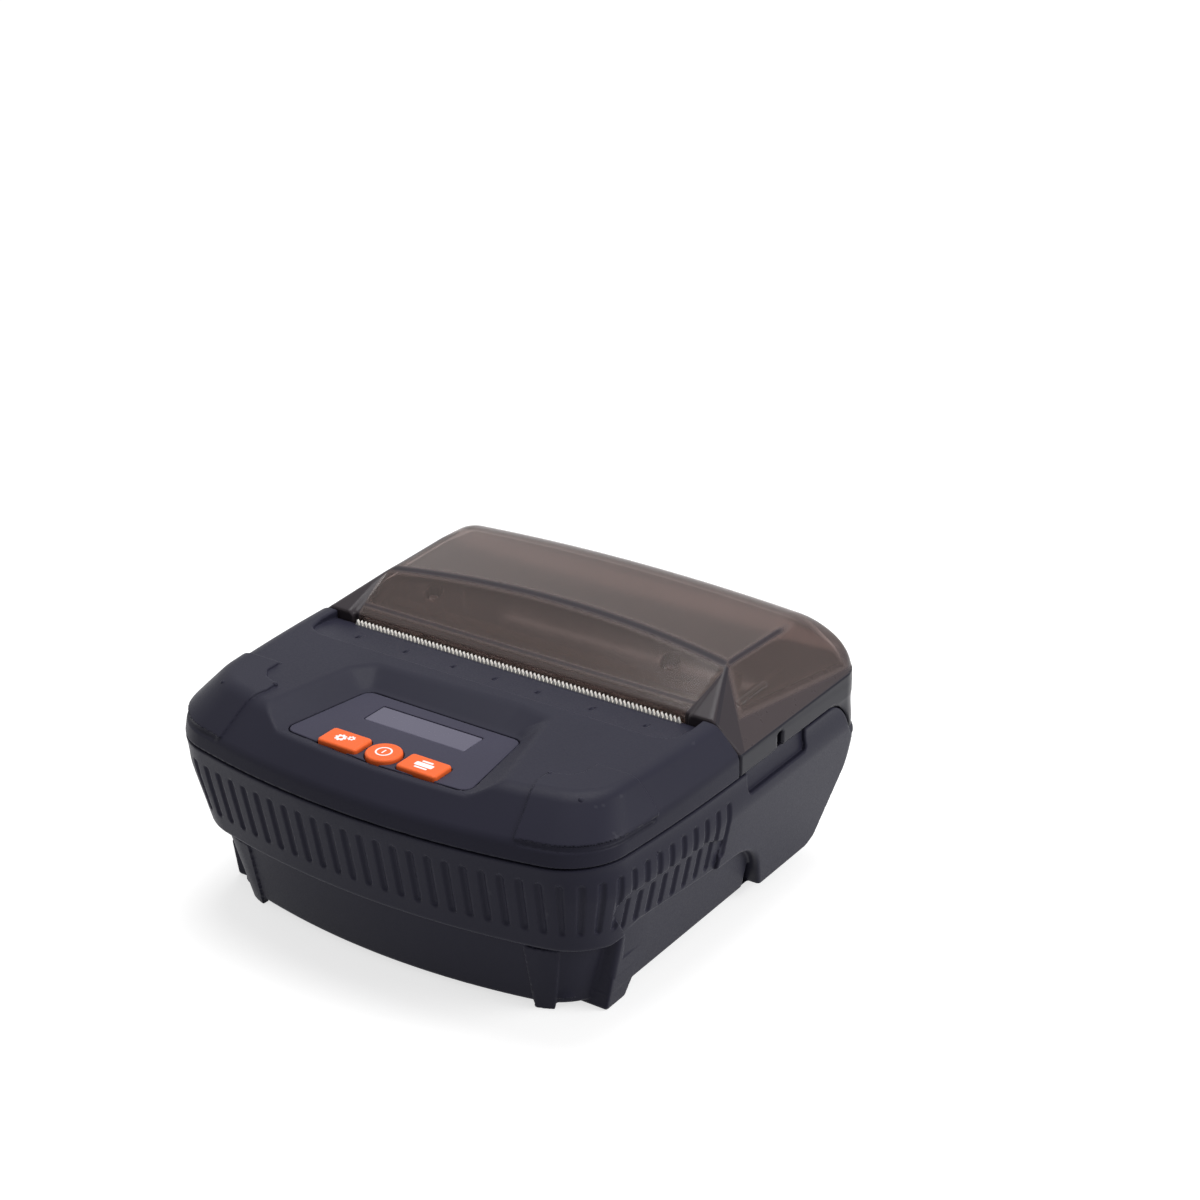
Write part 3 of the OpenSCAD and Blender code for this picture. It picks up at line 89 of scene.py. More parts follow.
HALF_W, TOP_W, FRONT, REAR = 56.5, 54.9, -53.0, 53.0
PART_Z, CONSOLE_Z, PLATE_Z, DECK_Z, CROWN_Z = 37.9, 38.1, 45.2, 48.5, 55.4
SIDE_DRAFT, FRONT_DRAFT = 0.19, 0.214
WALL, SOLE_Z = 2.0, 3.4
SEAM_Y = 2.2
CORNER_R = 14
BOW_A, SIDE_A = math.radians(13), math.radians(5.4)
SIDE_Y0 = 5.0
HINGE = (49.3, 26.5)
KNUCKLE_X = (38, 47.25)
CASE_SCREWS = ((38.5, -35.5), (43.0, -20.0))
CARRIER_SCREW = (30, 15.3)
BATTERY = (-36.7, 24.7, -29.2, 5.2)
KEY_Y, KEY_R, KEY_GAP, KEY_TOP = -41.1, 3.75, 0.2, 46.8
WINDOW_X, WINDOW_Y = (-12.9, 11.9), -27.85


def side_x(z):
    return HALF_W - SIDE_DRAFT * (PART_Z - z)


def case_front(z):
    return FRONT + FRONT_DRAFT * (PART_Z - z)


def drawn_in(z):
    """How far the walls stand inside the straight draft, where they steepen towards the seam"""
    k = np.clip((z - 29.5) / 8.4, 0, 1)
    return 1.6 * k * k * (3 - 2 * k)


# Distance fields: negative inside, in millimetres

def common(*fields):
    """Intersection with sharp edges"""
    return functools.reduce(np.maximum, fields)


def joined(*fields):
    """Union with sharp edges"""
    return functools.reduce(np.minimum, fields)


def smax(a, b, k):
    """Intersection with edges eased over k"""
    h = np.maximum(k - np.abs(a - b), 0) / k
    return np.maximum(a, b) + h * h * k / 4


def smin(a, b, k):
    """Union with edges eased over k"""
    return -smax(-a, -b, k)


def rmax(a, b, r):
    """Intersection with edges of radius r"""
    return np.minimum(np.maximum(a, b), -r) + np.hypot(np.maximum(a + r, 0), np.maximum(b + r, 0))


def between(v, a, b):
    return np.abs(v - (a + b) / 2) - (b - a) / 2


def box2(u, v, u0, u1, v0, v1, r):
    """Rectangle with corners of radius r"""
    return rmax(between(u, u0, u1), between(v, v0, v1), r)


def poly(u, v, pts):
    """Polygon"""
    d = np.full(u.shape, 1e9)
    inside = np.zeros(u.shape, bool)
    for (x0, y0), (x1, y1) in zip(pts, pts[1:] + pts[:1]):
        ex, ey = x1 - x0, y1 - y0
        wx, wy = u - x0, v - y0
        t = np.clip((wx * ex + wy * ey) / (ex * ex + ey * ey), 0, 1)
        d = np.minimum(d, (wx - ex * t) ** 2 + (wy - ey * t) ** 2)
        if abs(ey) > 1e-9:
            inside ^= ((y0 > v) != (y1 > v)) & (u < ex * (v - y0) / ey + x0)
    return np.where(inside, -1, 1) * np.sqrt(d)


def table(pts, lo, hi, step=0.15):
    """Polygon worked out once on a grid from lo to hi, and read between the grid's points"""
    n = [int((hi[k] - lo[k]) / step) + 2 for k in (0, 1)]
    grid = poly(*np.meshgrid(*[lo[k] + step * np.arange(n[k]) for k in (0, 1)], indexing="ij"), pts).ravel()

    def look(u, v):
        a = np.clip((u - lo[0]) / step, 0, n[0] - 1.001)
        b = np.clip((v - lo[1]) / step, 0, n[1] - 1.001)
        i, j = a.astype(np.int32), b.astype(np.int32)
        a, b, at = a - i, b - j, i * n[1] + j
        near = grid[at] * (1 - a) + grid[at + n[1]] * a
        far = grid[at + 1] * (1 - a) + grid[at + n[1] + 1] * a
        return near * (1 - b) + far * b

    return look


def arc(cx, cy, r, a0, a1, n):
    """Points of an arc from a0 to a1 degrees"""
    turns = [math.radians(a0 + (a1 - a0) * i / n) for i in range(n + 1)]
    return [(cx + r * math.cos(a), cy + r * math.sin(a)) for a in turns]


def rounded(pts, r, n=5):
    """Polygon with each corner turned into an arc; r is one radius or one for each corner"""
    out = []
    for i, p in enumerate(pts):
        radius = r[i] if isinstance(r, (list, tuple)) else r
        p = np.array(p, float)
        if radius <= 0:
            out.append(tuple(p))
            continue
        u = np.array(pts[i - 1]) - p
        v = np.array(pts[(i + 1) % len(pts)]) - p
        u, v = u / np.linalg.norm(u), v / np.linalg.norm(v)
        half = math.acos(np.clip(u @ v, -1, 1)) / 2
        centre = p + (u + v) / np.linalg.norm(u + v) * radius / math.sin(half)
        s, e = p + u * radius / math.tan(half) - centre, p + v * radius / math.tan(half) - centre
        a0 = math.atan2(s[1], s[0])
        turn = (math.atan2(e[1], e[0]) - a0 + math.pi) % (2 * math.pi) - math.pi
        for k in range(n + 1):
            a = a0 + turn * k / n
            out.append(tuple(centre + radius * np.array([math.cos(a), math.sin(a)])))
    return out


def corner_centre(w, yf, r):
    """Centre of the arc between the bowed front, at yf in its middle, and the bowed side, at w"""
    t, s = math.tan(BOW_A / 2), math.tan(SIDE_A / 2)
    a = w - s * (SIDE_Y0 + r * math.sin(SIDE_A)) - r * math.cos(SIDE_A)
    b = yf + r * math.sin(BOW_A) * t + r * math.cos(BOW_A)
    cx = (a + s * b) / (1 - s * t)
    return cx, b + t * cx


def plan(x, y, w, yf, r):
    """Bowed front, rounded corner and bowed side of the outline seen from above, for x >= 0"""
    cx, cy = corner_centre(w, yf, r)
    bow_r = (cx + r * math.sin(BOW_A)) / math.sin(BOW_A)
    side_r = (SIDE_Y0 - cy + r * math.sin(SIDE_A)) / math.sin(SIDE_A)
    bow = np.hypot(x, y - yf - bow_r) - bow_r
    side = np.where(y < SIDE_Y0, np.hypot(x - w + side_r, y - SIDE_Y0) - side_r, x - w)
    vx, vy = x - cx, y - cy
    past_bow = math.sin(BOW_A) * vy + math.cos(BOW_A) * vx > 0
    before_side = math.cos(SIDE_A) * vy + math.sin(SIDE_A) * vx < 0
    return np.where(past_bow & before_side, np.hypot(vx, vy) - r, np.maximum(bow, side))


# Meshes

BLOCK = 6           # grid steps across a block of the coarse pass
CHUNK = 400000      # points worked out at once
CORNERS = [(i, j, k) for i in (0, 1) for j in (0, 1) for k in (0, 1)]


def sampled(f, lo, n, step):
    """Values of f on a grid: exact near its surface, one value for each block elsewhere"""
    axes = [lo[i] + step * np.arange(n[i]) for i in range(3)]
    mids = [lo[i] + step * (np.arange(-(-n[i] // BLOCK)) * BLOCK + (BLOCK - 1) / 2) for i in range(3)]
    coarse = f(*np.meshgrid(*mids, indexing="ij"))
    near = np.abs(coarse) < step * (BLOCK + 1) * 1.05
    field = coarse.astype(np.float32)
    for axis in range(3):
        field = np.repeat(field, BLOCK, axis)
        near = np.repeat(near, BLOCK, axis)
    field, near = field[:n[0], :n[1], :n[2]].copy(), near[:n[0], :n[1], :n[2]]
    at = np.nonzero(near)
    values = np.empty(len(at[0]), np.float32)
    for start in range(0, len(values), CHUNK):
        part = slice(start, start + CHUNK)
        values[part] = f(*(axes[i][at[i][part]] for i in range(3)))
    field[near] = values
    return field


def surface_net(field, lo, step):
    """One point in each cell that the surface crosses, and the quads between them"""
    n = field.shape
    inside = field < 0
    count = sum(inside[i:n[0] - 1 + i, j:n[1] - 1 + j, k:n[2] - 1 + k].astype(np.uint8) for i, j, k in CORNERS)
    active = (count > 0) & (count < 8)
    cell = np.nonzero(active)
    number = np.full(active.shape, -1, np.int32)
    number[active] = np.arange(len(cell[0]))
    at = [field[cell[0] + i, cell[1] + j, cell[2] + k] for i, j, k in CORNERS]
    total, hits = np.zeros((len(cell[0]), 3)), np.zeros(len(cell[0]))
    for a in range(8):
        for b in range(a + 1, 8):
            if sum(p != q for p, q in zip(CORNERS[a], CORNERS[b])) != 1:
                continue
            cross = (at[a] < 0) != (at[b] < 0)
            t = np.where(cross, at[a] / np.where(cross, at[a] - at[b], 1), 0)
            for axis in range(3):
                place = CORNERS[a][axis] + t * (CORNERS[b][axis] - CORNERS[a][axis])
                total[:, axis] += np.where(cross, place, 0)
            hits += cross
    points = np.array(lo) + step * (np.stack(cell, 1) + total / hits[:, None])
    quads = []
    for axis in range(3):
        u, v = (axis + 1) % 3, (axis + 2) % 3
        first, second = [slice(1, -1)] * 3, [slice(1, -1)] * 3
        first[axis], second[axis] = slice(0, -1), slice(1, None)
        a, b = inside[tuple(first)], inside[tuple(second)]
        for flip in (False, True):
            here = list(np.nonzero((a != b) & (a == flip)))
            here[u], here[v] = here[u] + 1, here[v] + 1
            ring = []
            for du, dv in ((0, -1), (-1, -1), (-1, 0), (0, 0)):
                there = list(here)
                there[u], there[v] = there[u] + du, there[v] + dv
                ring.append(number[tuple(there)])
            quads.append(np.stack(ring[::-1] if flip else ring, 1))
    return points, np.concatenate(quads)


def evened(p, quads):
    """Points moved towards the mean of their neighbours"""
    here = np.concatenate([quads.ravel(), quads.ravel()])
    there = np.concatenate([np.roll(quads, -1, 1).ravel(), np.roll(quads, 1, 1).ravel()])
    count = np.maximum(np.bincount(here, minlength=len(p)), 1)
    mean = np.stack([np.bincount(here, p[there, k], len(p)) / count for k in range(3)], 1)
    return p * 0.4 + mean * 0.6


def slope(f, p, e=0.04):
    """Value and gradient of f at the points"""
    value = f(*p.T)
    g = np.empty_like(p)
    for axis in range(3):
        d = np.zeros(3)
        d[axis] = e
        g[:, axis] = (f(*(p + d).T) - value) / e
    return value, g


def draw(f, p, step):
    """Points moved onto f = 0, each by less than a grid step"""
    value, g = slope(f, p)
    v = value[:, None] * g / np.maximum((g * g).sum(1), 1e-6)[:, None]
    far = np.linalg.norm(v, axis=1)
    return p - v * np.minimum(1, step * 0.7 / np.maximum(far, 1e-9))[:, None]


def sculpt(f, lo, hi, step):
    """Points and quads of the surface f = 0 in the box from lo to hi"""
    n = [int(math.ceil((b - a) / step)) + 1 for a, b in zip(lo, hi)]
    p, quads = surface_net(sampled(f, lo, n, step), lo, step)
    p = evened(draw(f, p, step), quads)
    for _ in range(2):
        p = draw(f, p, step)
    return p, quads


def unit(v):
    return v / np.maximum(np.linalg.norm(v, axis=1), 1e-9)[:, None]


def repeated(verts, quads, spots):
    """Points and quads of a small mesh that stands at each of the spots"""
    every = np.concatenate([verts + spot for spot in spots])
    return every, np.concatenate([quads + i * len(verts) for i in range(len(spots))])


def mesh_object(name, verts, faces, material, body, slot, replaces=(), normals=None, smooth=True):
    """Mesh in millimetres that rides on a body; faces is an array of quads, or a list"""
    mesh = bpy.data.meshes.new(name)
    verts = np.asarray(verts, float) * MM
    if isinstance(faces, np.ndarray):
        k = faces.shape[1]
        mesh.vertices.add(len(verts))
        mesh.vertices.foreach_set("co", verts.astype(np.float32).ravel())
        mesh.loops.add(faces.size)
        mesh.loops.foreach_set("vertex_index", faces.astype(np.int32).ravel())
        mesh.polygons.add(len(faces))
        mesh.polygons.foreach_set("loop_start", np.arange(0, faces.size, k, dtype=np.int32))
        mesh.update(calc_edges=True)
    else:
        mesh.from_pydata([tuple(v) for v in verts], [], faces)
    mesh.polygons.foreach_set("use_smooth", np.full(len(mesh.polygons), smooth))
    mesh.materials.append(material)
    if normals is not None:
        mesh.normals_split_custom_set_from_vertices(normals)
    mesh.update()
    piece = bpy.data.objects.new(name, mesh)
    scene.collection.objects.link(piece)
    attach(piece, body)
    if replaces:
        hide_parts(*replaces)
    return piece


def thin_out(piece, share):
    """Fewer faces where the piece is flat"""
    thin = piece.modifiers.new("thin", "DECIMATE")
    thin.ratio = share
    dg = bpy.context.evaluated_depsgraph_get()
    fine = bpy.data.meshes.new_from_object(piece.evaluated_get(dg))
    piece.modifiers.clear()
    piece.data = fine


def moulded(name, f, lo, hi, step, material, body, slot, replaces, share):
    """A moulded piece from a distance field, with share of its faces and with the field's own normals"""
    verts, quads = sculpt(f, lo, hi, step * (1))
    piece = mesh_object(name, verts, quads, material, body, slot, replaces)
    if share < 1:
        thin_out(piece, share)
    mesh = piece.data
    p = np.empty(len(mesh.vertices) * 3)
    mesh.vertices.foreach_get("co", p)
    p = p.reshape(-1, 3) / MM
    drawn = draw(f, p, step)
    p = np.where((np.abs(f(*drawn.T)) < np.abs(f(*p.T)))[:, None], drawn, p)
    normals = unit(np.stack([f(*(p + d).T) - f(*(p - d).T) for d in np.eye(3) * step * 0.3], 1))
    mesh.vertices.foreach_set("co", (p * MM).ravel())
    mesh.polygons.foreach_set("use_smooth", np.full(len(mesh.polygons), True))
    mesh.update()
    # Across a thin wall the field's normal can point the wrong way: there the mesh's own one is kept
    plain = np.empty(len(p) * 3)
    mesh.vertex_normals.foreach_get("vector", plain)
    plain = plain.reshape(-1, 3)
    normals = np.where(((normals * plain).sum(1) < 0.6)[:, None], plain, normals)
    mesh.normals_split_custom_set_from_vertices(normals)
    mesh.update()
    return piece


# Materials

def shader(name):
    m = bpy.data.materials.new(name)
    m.use_nodes = True
    return m, m.node_tree.nodes, m.node_tree.links, m.node_tree.nodes["Principled BSDF"]


def noise(n, l, where, scale, detail=2):
    node = n.new("ShaderNodeTexNoise")
    node.inputs["Scale"].default_value = scale
    node.inputs["Detail"].default_value = detail
    l.new(where, node.inputs["Vector"])
    return node.outputs["Fac"]


def ranged(n, l, value, low, high, start=0.0, end=1.0):
    """The span from start to end taken to the span from low to high"""
    node = n.new("ShaderNodeMapRange")
    for key, number in (("From Min", start), ("From Max", end), ("To Min", low), ("To Max", high)):
        node.inputs[key].default_value = number
    l.new(value, node.inputs["Value"])
    return node.outputs["Result"]


def mixed(n, l, factor, a, b):
    """Colour between a and b, each of which is a colour or the output of a node"""
    node = n.new("ShaderNodeMix")
    node.data_type = "RGBA"
    l.new(factor, node.inputs["Factor"])
    for key, colour in (("A", a), ("B", b)):
        if isinstance(colour, tuple):
            node.inputs[key].default_value = (*colour, 1)
        else:
            l.new(colour, node.inputs[key])
    return node.outputs["Result"]


def raised(n, l, s, height, strength, distance):
    """Relief of the surface, up to distance in millimetres"""
    node = n.new("ShaderNodeBump")
    node.inputs["Strength"].default_value = strength
    node.inputs["Distance"].default_value = distance * MM
    l.new(height, node.inputs["Height"])
    l.new(node.outputs["Normal"], s.inputs["Normal"])


def textured(name, colour, rough, grain=0.3, bump=0.05, metal=0.0, vary=0.12, edge_wear_and_highlight=None, level=0.5, coat=0.0,
             stretch=None):
    """Colour with a soft variation, a fine grain in relief and in gloss, and paler sharp edges where that colour is
    given: partly wear and partly a painted highlight.

    The grain is in millimetres, and stretch scales the pattern along each axis, for brushed metal.
    """
    m, n, l, s = shader(name)
    s.inputs["Metallic"].default_value = metal
    s.inputs["Specular IOR Level"].default_value = level
    s.inputs["Coat Weight"].default_value = coat
    where = n.new("ShaderNodeTexCoord").outputs["Object"]
    if stretch:
        scale = n.new("ShaderNodeMapping")
        scale.inputs["Scale"].default_value = stretch
        l.new(where, scale.inputs["Vector"])
        where = scale.outputs["Vector"]
    darker, paler = (tuple(c * k for c in colour) for k in (1 - vary, 1 + vary))
    base = mixed(n, l, noise(n, l, where, 45, 3), darker, paler)
    # Paler sharp edges, found by pointiness: partly wear, partly a painted highlight along the rims
    if edge_wear_and_highlight:
        edges = n.new("ShaderNodeNewGeometry").outputs["Pointiness"]
        base = mixed(n, l, ranged(n, l, edges, 0.0, 0.3, 0.56, 0.68), base, edge_wear_and_highlight)
    l.new(base, s.inputs["Base Color"])
    fine = noise(n, l, where, 1000 / grain, 4)
    l.new(ranged(n, l, fine, rough - 0.06, rough + 0.06, 0.3, 0.7), s.inputs["Roughness"])
    raised(n, l, s, fine, bump, grain * 0.3)
    return m


class Term:
    """A value in a material, so that a formula can be written as one"""

    def __init__(self, tree, out):
        self.tree, self.out = tree, out

    def math(self, op, other=None, clamp=False):
        node = self.tree.nodes.new("ShaderNodeMath")
        node.operation, node.use_clamp = op, clamp
        self.tree.links.new(self.out, node.inputs[0])
        if isinstance(other, Term):
            self.tree.links.new(other.out, node.inputs[1])
        elif other is not None:
            node.inputs[1].default_value = other
        return Term(self.tree, node.outputs[0])

    def __add__(self, other):
        return self.math("ADD", other)

    def __sub__(self, other):
        return self.math("SUBTRACT", other)

    def __mul__(self, other):
        return self.math("MULTIPLY", other)

    def __neg__(self):
        return self * -1.0

    def __abs__(self):
        return self.math("ABSOLUTE")

    def clip(self):
        return self.math("ADD", 0.0, clamp=True)

    def top(self, other):
        return self.math("MAXIMUM", other)

    def less(self, other):
        return self.math("LESS_THAN", other)


def thick_plastic(x, y, z):
    """How much plastic the eye looks through, from 0 to 1, at a place in millimetres with x >= 0"""
    # Creases: where the two nearest of crown, front and slanted side meet
    crown = (x * (1 / 43.5)).math("POWER", 2.0) * 1.6
    top = abs(z - CROWN_Z + crown)
    front = abs((z - 47.9) * 0.924 - (y - SEAM_Y) * 0.381)
    run = ((y - 20.0) * (1 / 27)).clip() * -0.1 + 1.1
    slant = abs((x - TOP_W + (z - 43.0) * run) * 0.68 + 0.22)
    near = top + front + slant - top.top(front).top(slant)
    crease = (near * -1.9 + 1.6).clip() * 0.95
    # Folded end of the front, inside a bent line
    back = ((-y + 20.0) * (1 / 18)).clip()
    bend = back * back * -2.2 + 43.6
    inner = ((x - bend + 0.9) * 1.7).clip() * y.less(20.5)
    wing = inner * ((-y - x + 61.0) * 0.4).clip() * 0.9
    # Lip behind the slot, strip along the side, low end of the front and rear edge
    lip = (abs(y - 5.8) * -1.4 + 1.3).clip() * x.less(42.5) * 0.85
    strip = ((-z + 43.6) * 1.5).clip()
    low = ((y - 5.0) * -0.085 + 48.0 - z).clip() * (-x.less(43.0) + 1.0) * 0.8
    rear = ((y - 45.5) * 0.4).clip()
    bent = (rear * ((z - 47.5) * 0.25).clip()).top(rear * ((x - 48.0) * 0.25).clip()) * 0.7
    return crease.top(wing).top(lip).top(strip).top(low).top(bent)


def smoke_plastic():
    """Smoked clear plastic: brown where thin, darker, bluer and less clear where thick"""
    m, n, l, s = shader("smoke_cover")
    s.inputs["IOR"].default_value = 1.28
    s.inputs["Specular IOR Level"].default_value = 0.3
    where = n.new("ShaderNodeTexCoord").outputs["Object"]
    cloud = noise(n, l, where, 30)
    split = n.new("ShaderNodeSeparateXYZ")
    l.new(where, split.inputs["Vector"])
    x, y, z = (Term(m.node_tree, split.outputs[k]) * (1 / MM) for k in range(3))
    thick = thick_plastic(abs(x), y, z)
    thin_colour = mixed(n, l, cloud, (0.27, 0.203, 0.188), (0.315, 0.238, 0.222))
    l.new(mixed(n, l, thick.out, thin_colour, (0.0145, 0.0140, 0.0220)), s.inputs["Base Color"])
    l.new((thick * -0.66 + 0.86).out, s.inputs["Transmission Weight"])
    gloss = Term(m.node_tree, ranged(n, l, noise(n, l, where, 400), 0.13, 0.20))
    l.new((thick * 0.15 + gloss).out, s.inputs["Roughness"])
    raised(n, l, s, cloud, 0.03, 0.3)
    return m


# Paler colour for sharp edges: partly wear, partly a painted highlight
PALE_EDGE_WEAR_AND_HIGHLIGHT = (0.06, 0.06, 0.075)
FINISHES = {
    "case_plastic": dict(colour=(0.0190, 0.0186, 0.0315), rough=0.42, grain=0.35, bump=0.10, edge_wear_and_highlight=PALE_EDGE_WEAR_AND_HIGHLIGHT, level=0.08),
    "console_plastic": dict(colour=(0.0190, 0.0186, 0.0305), rough=0.42, grain=0.35, bump=0.10, edge_wear_and_highlight=PALE_EDGE_WEAR_AND_HIGHLIGHT, level=0.08),
    "plate": dict(colour=(0.040, 0.038, 0.060), rough=0.45, grain=0.3, bump=0.04, level=0.08),
    "lens": dict(colour=(0.088, 0.083, 0.122), rough=0.22, grain=0.5, bump=0.01, level=0.15, coat=0.1),
    "display": dict(colour=(0.02, 0.02, 0.025), rough=0.3),
    "keys": dict(colour=(0.78, 0.125, 0.028), rough=0.42, grain=0.3, bump=0.05, vary=0.05, level=0.15),
    "key_print": dict(colour=(0.82, 0.80, 0.80), rough=0.5, grain=0.2, bump=0.02, vary=0.03),
    "domes": dict(colour=(0.75, 0.75, 0.76), rough=0.3, metal=1),
    "board": dict(colour=(0.01, 0.09, 0.04), rough=0.35, grain=0.6, bump=0.1),
    "tear_steel": dict(colour=(0.86, 0.84, 0.80), rough=0.35, grain=0.2, bump=0.1, metal=0.25, stretch=(0.05, 1, 1)),
    "frame_steel": dict(colour=(0.10, 0.10, 0.11), rough=0.45, grain=0.5, bump=0.1, metal=0.6),
    "head_aluminium": dict(colour=(0.6, 0.6, 0.62), rough=0.4, grain=0.3, bump=0.1, metal=1, stretch=(0.05, 1, 1)),
    "head_ceramic": dict(colour=(0.08, 0.09, 0.11), rough=0.2),
    "pin_steel": dict(colour=(0.6, 0.6, 0.61), rough=0.25, metal=1),
    "spring_steel": dict(colour=(0.55, 0.54, 0.52), rough=0.3, metal=1),
    "motor_steel": dict(colour=(0.45, 0.45, 0.47), rough=0.38, metal=1),
    "pinion_brass": dict(colour=(0.75, 0.55, 0.22), rough=0.3, metal=1),
    "gear_nylon": dict(colour=(0.72, 0.70, 0.62), rough=0.45),
    "platen_rubber": dict(colour=(0.42, 0.34, 0.21), rough=0.55, grain=0.25, bump=0.1),
    "bush_nylon": dict(colour=(0.65, 0.64, 0.60), rough=0.45),
    "carrier_plastic": dict(colour=(0.09, 0.078, 0.055), rough=0.5, grain=0.4, bump=0.02, level=0.2),
    "bay_plastic": dict(colour=(0.03, 0.03, 0.035), rough=0.5, grain=0.4, bump=0.02, level=0.2),
    "sensor_plastic": dict(colour=(0.01, 0.01, 0.01), rough=0.3),
    "battery_wrap": dict(colour=(0.03, 0.07, 0.22), rough=0.3, grain=0.8, bump=0.05),
    "screw_steel": dict(colour=(0.35, 0.35, 0.36), rough=0.3, metal=1),
    "port_steel": dict(colour=(0.6, 0.6, 0.6), rough=0.25, metal=1),
    "foot_rubber": dict(colour=(0.012, 0.012, 0.012), rough=0.8, grain=0.4, bump=0.2),
}
MATS = {name: textured(name, **finish) for name, finish in FINISHES.items()}
MATS["smoke_cover"] = smoke_plastic()

# Lower case, symmetric but for its hatch and its charging port

GROOVE_PITCH, GROOVES, GROOVE_R = 3.9, 24, 0.72
DEEP_GROOVES = (15, 23)
MID_Z = 27.8
MID_CENTRE = corner_centre(side_x(MID_Z), case_front(MID_Z), CORNER_R)
MID_BOW_R = (MID_CENTRE[0] + CORNER_R * math.sin(BOW_A)) / math.sin(BOW_A)
MID_SIDE_R = (SIDE_Y0 - MID_CENTRE[1] + CORNER_R * math.sin(SIDE_A)) / math.sin(SIDE_A)
MID_BOW_L = MID_BOW_R * BOW_A
MID_CORNER_L = CORNER_R * (math.pi / 2 - BOW_A - SIDE_A)
BARREL_R, GAP_R, PIN_R = 3.4, 3.8, 1.2

# Outlines seen from the side, as (y, z)
BAND_LOW = [(-60, 17.0), (-36, 17.0), (-30.7, 18.9), (-27.4, 19.6), (-21.3, 19.3), (-11.9, 18.7), (-2.3, 18.3),
            (8.7, 18.0), (60, 18)]
CASE_SIDE = table([(-60, 10), (-60, PART_Z), (28.3, PART_Z)] + arc(37.3, 28.9, 9, 90, 15, 10)
                  + [HINGE, (51.5, 24.2), (41.5, 5.0), (38.5, SOLE_Z), (10, SOLE_Z)], (-62, -4), (58, 50))
BAY_SIDE = table([(4, 50), (4, 20.2)] + arc(5.6, 9.2, 11, 90, 22, 5)
                 + [(21, 5), (38, 5), (40.3, 6.3), (49.5, 23.9), (49.5, 50)], (0, -2), (56, 50))
POCKET = table(rounded([(-36.8, 24.7), (-31.6, 17), (-30.8, 12), (-2.6, 12), (-2.4, 23.4), (-1.4, 25.4),
                        (-8.5, 28.3), (-35.6, 28.9)], [1, 1, 0, 0, 1, 1, 1.5, 1.5]), (-40, 8), (2, 32))
TOE = table(rounded([(-33.5, 0), (-26.8, 0), (-25.2, 3.6), (-25.2, 8), (-33.5, 8)], [0.8, 0.8, 0.5, 0, 0]),
            (-40, -2), (-20, 12))


def band_length(x, y):
    """Length along the middle line of the ribbed band, from the middle of the bow"""
    cx, cy = MID_CENTRE
    bow = np.arctan2(x, FRONT + MID_BOW_R + FRONT_DRAFT * (PART_Z - MID_Z) - y)
    corner = np.arctan2(x - cx, cy - y)
    round_corner = MID_BOW_L + np.clip(corner - BOW_A, 0, math.pi / 2 - BOW_A - SIDE_A) * CORNER_R
    s = np.where(bow < BOW_A, bow * MID_BOW_R, round_corner)
    side = np.arctan2(SIDE_Y0 - y, MID_SIDE_R)
    return np.where(corner > math.pi / 2 - SIDE_A, MID_BOW_L + MID_CORNER_L + (SIDE_A - side) * MID_SIDE_R, s)


def case_block(x, Y, Z, w, yf, skin):
    """Outside of the lower case, still solid: w and yf are the half width and the front at each height"""
    slope_a = math.radians(22)
    band = np.interp(Y, *zip(*BAND_LOW)) - Z
    bay = (19 - (Z - SOLE_Z) * math.tan(slope_a) - Y) * math.cos(slope_a)
    form = smax(smax(skin, CASE_SIDE(Y, Z), 0.5), smin(smax(band, Y - 30, 1), bay, 9), 1.0)
    form = smax(form, common(SOLE_Z - Z, Z - PART_Z), 0.5)
    # Corner posts with the panel between them, side skirts and the sole
    post = smax(smax(plan(x, Y, w - 3.3, yf + 1.4, 13), 1.4 - Z, 0.8), common(Z - 21.5, Y + 32), 0.4)
    skirt = smax(rmax(x - w + 2.4, -33.5 - Y, 1.2), common(Z - 21.5, Y - 16), 0.4)
    skirt = smax(skirt, 3.6 - Z, 0.8)
    sole = common(x - 47.4 - (Z - 4), between(Y, -33.5, 19), between(Z, 2, 4))
    form = smin(smin(smin(form, post, 0.5), skirt, 0.5), sole, 0.3)
    # Feet: a tab in the front and a toe at the skirt's front end
    tab = smax(smax(plan(x, Y, w - 3.3, yf + 0.95, 13), between(x, 34.4, 38.2 + Z * 0.2), 0.2),
               common(-Z, Z - 16, Y + 38.2), 0.3)
    toe = smax(smax(x - w + 2.4, TOE(Y, Z), 0.6), 40 - x, 0.6)
    return smin(smin(form, tab, 0.12), toe, 0.08)


def case_hollow(x, Y, Z, w, yf, skin):
    """Space under the console, under the band and in the roll bay"""
    front = common(skin + WALL, 21.4 - Z, Y - 8)
    under = common(plan(x, Y, w - 5.3, yf + 3.4, 11), between(Z, 4, 22), Y + 31.5)
    under = joined(under, common(x - w + 4.4, between(Y, -31.6, 21), between(Z, 4, 22)))
    rear = common(x - w + WALL, BAY_SIDE(Y, Z), Y - 51)
    return joined(front, under, rear)


def case_columns(X, x, Y, Z):
    """Columns for the screws of the case and of the board, and the fence round the battery"""
    (ax, ay), (bx, by) = CASE_SCREWS
    posts = common(np.hypot(x - ax, Y - ay), np.where(Z > 3, 0, 9)) - 3.2
    posts = joined(posts, common(np.hypot(x - bx, Y - by) - 3.2, 3 - Z))
    posts = common(posts, Z - 30)
    for v in (-10.0, 1.0):
        posts = joined(posts, common(np.hypot(x - 41.5, Y - v) - 2.5, between(Z, 3, 14)))
    fence = common(np.abs(box2(X, Y, *BATTERY, 1) - 0.6) - 0.6, between(Z, 3, 9))
    return joined(posts, fence)


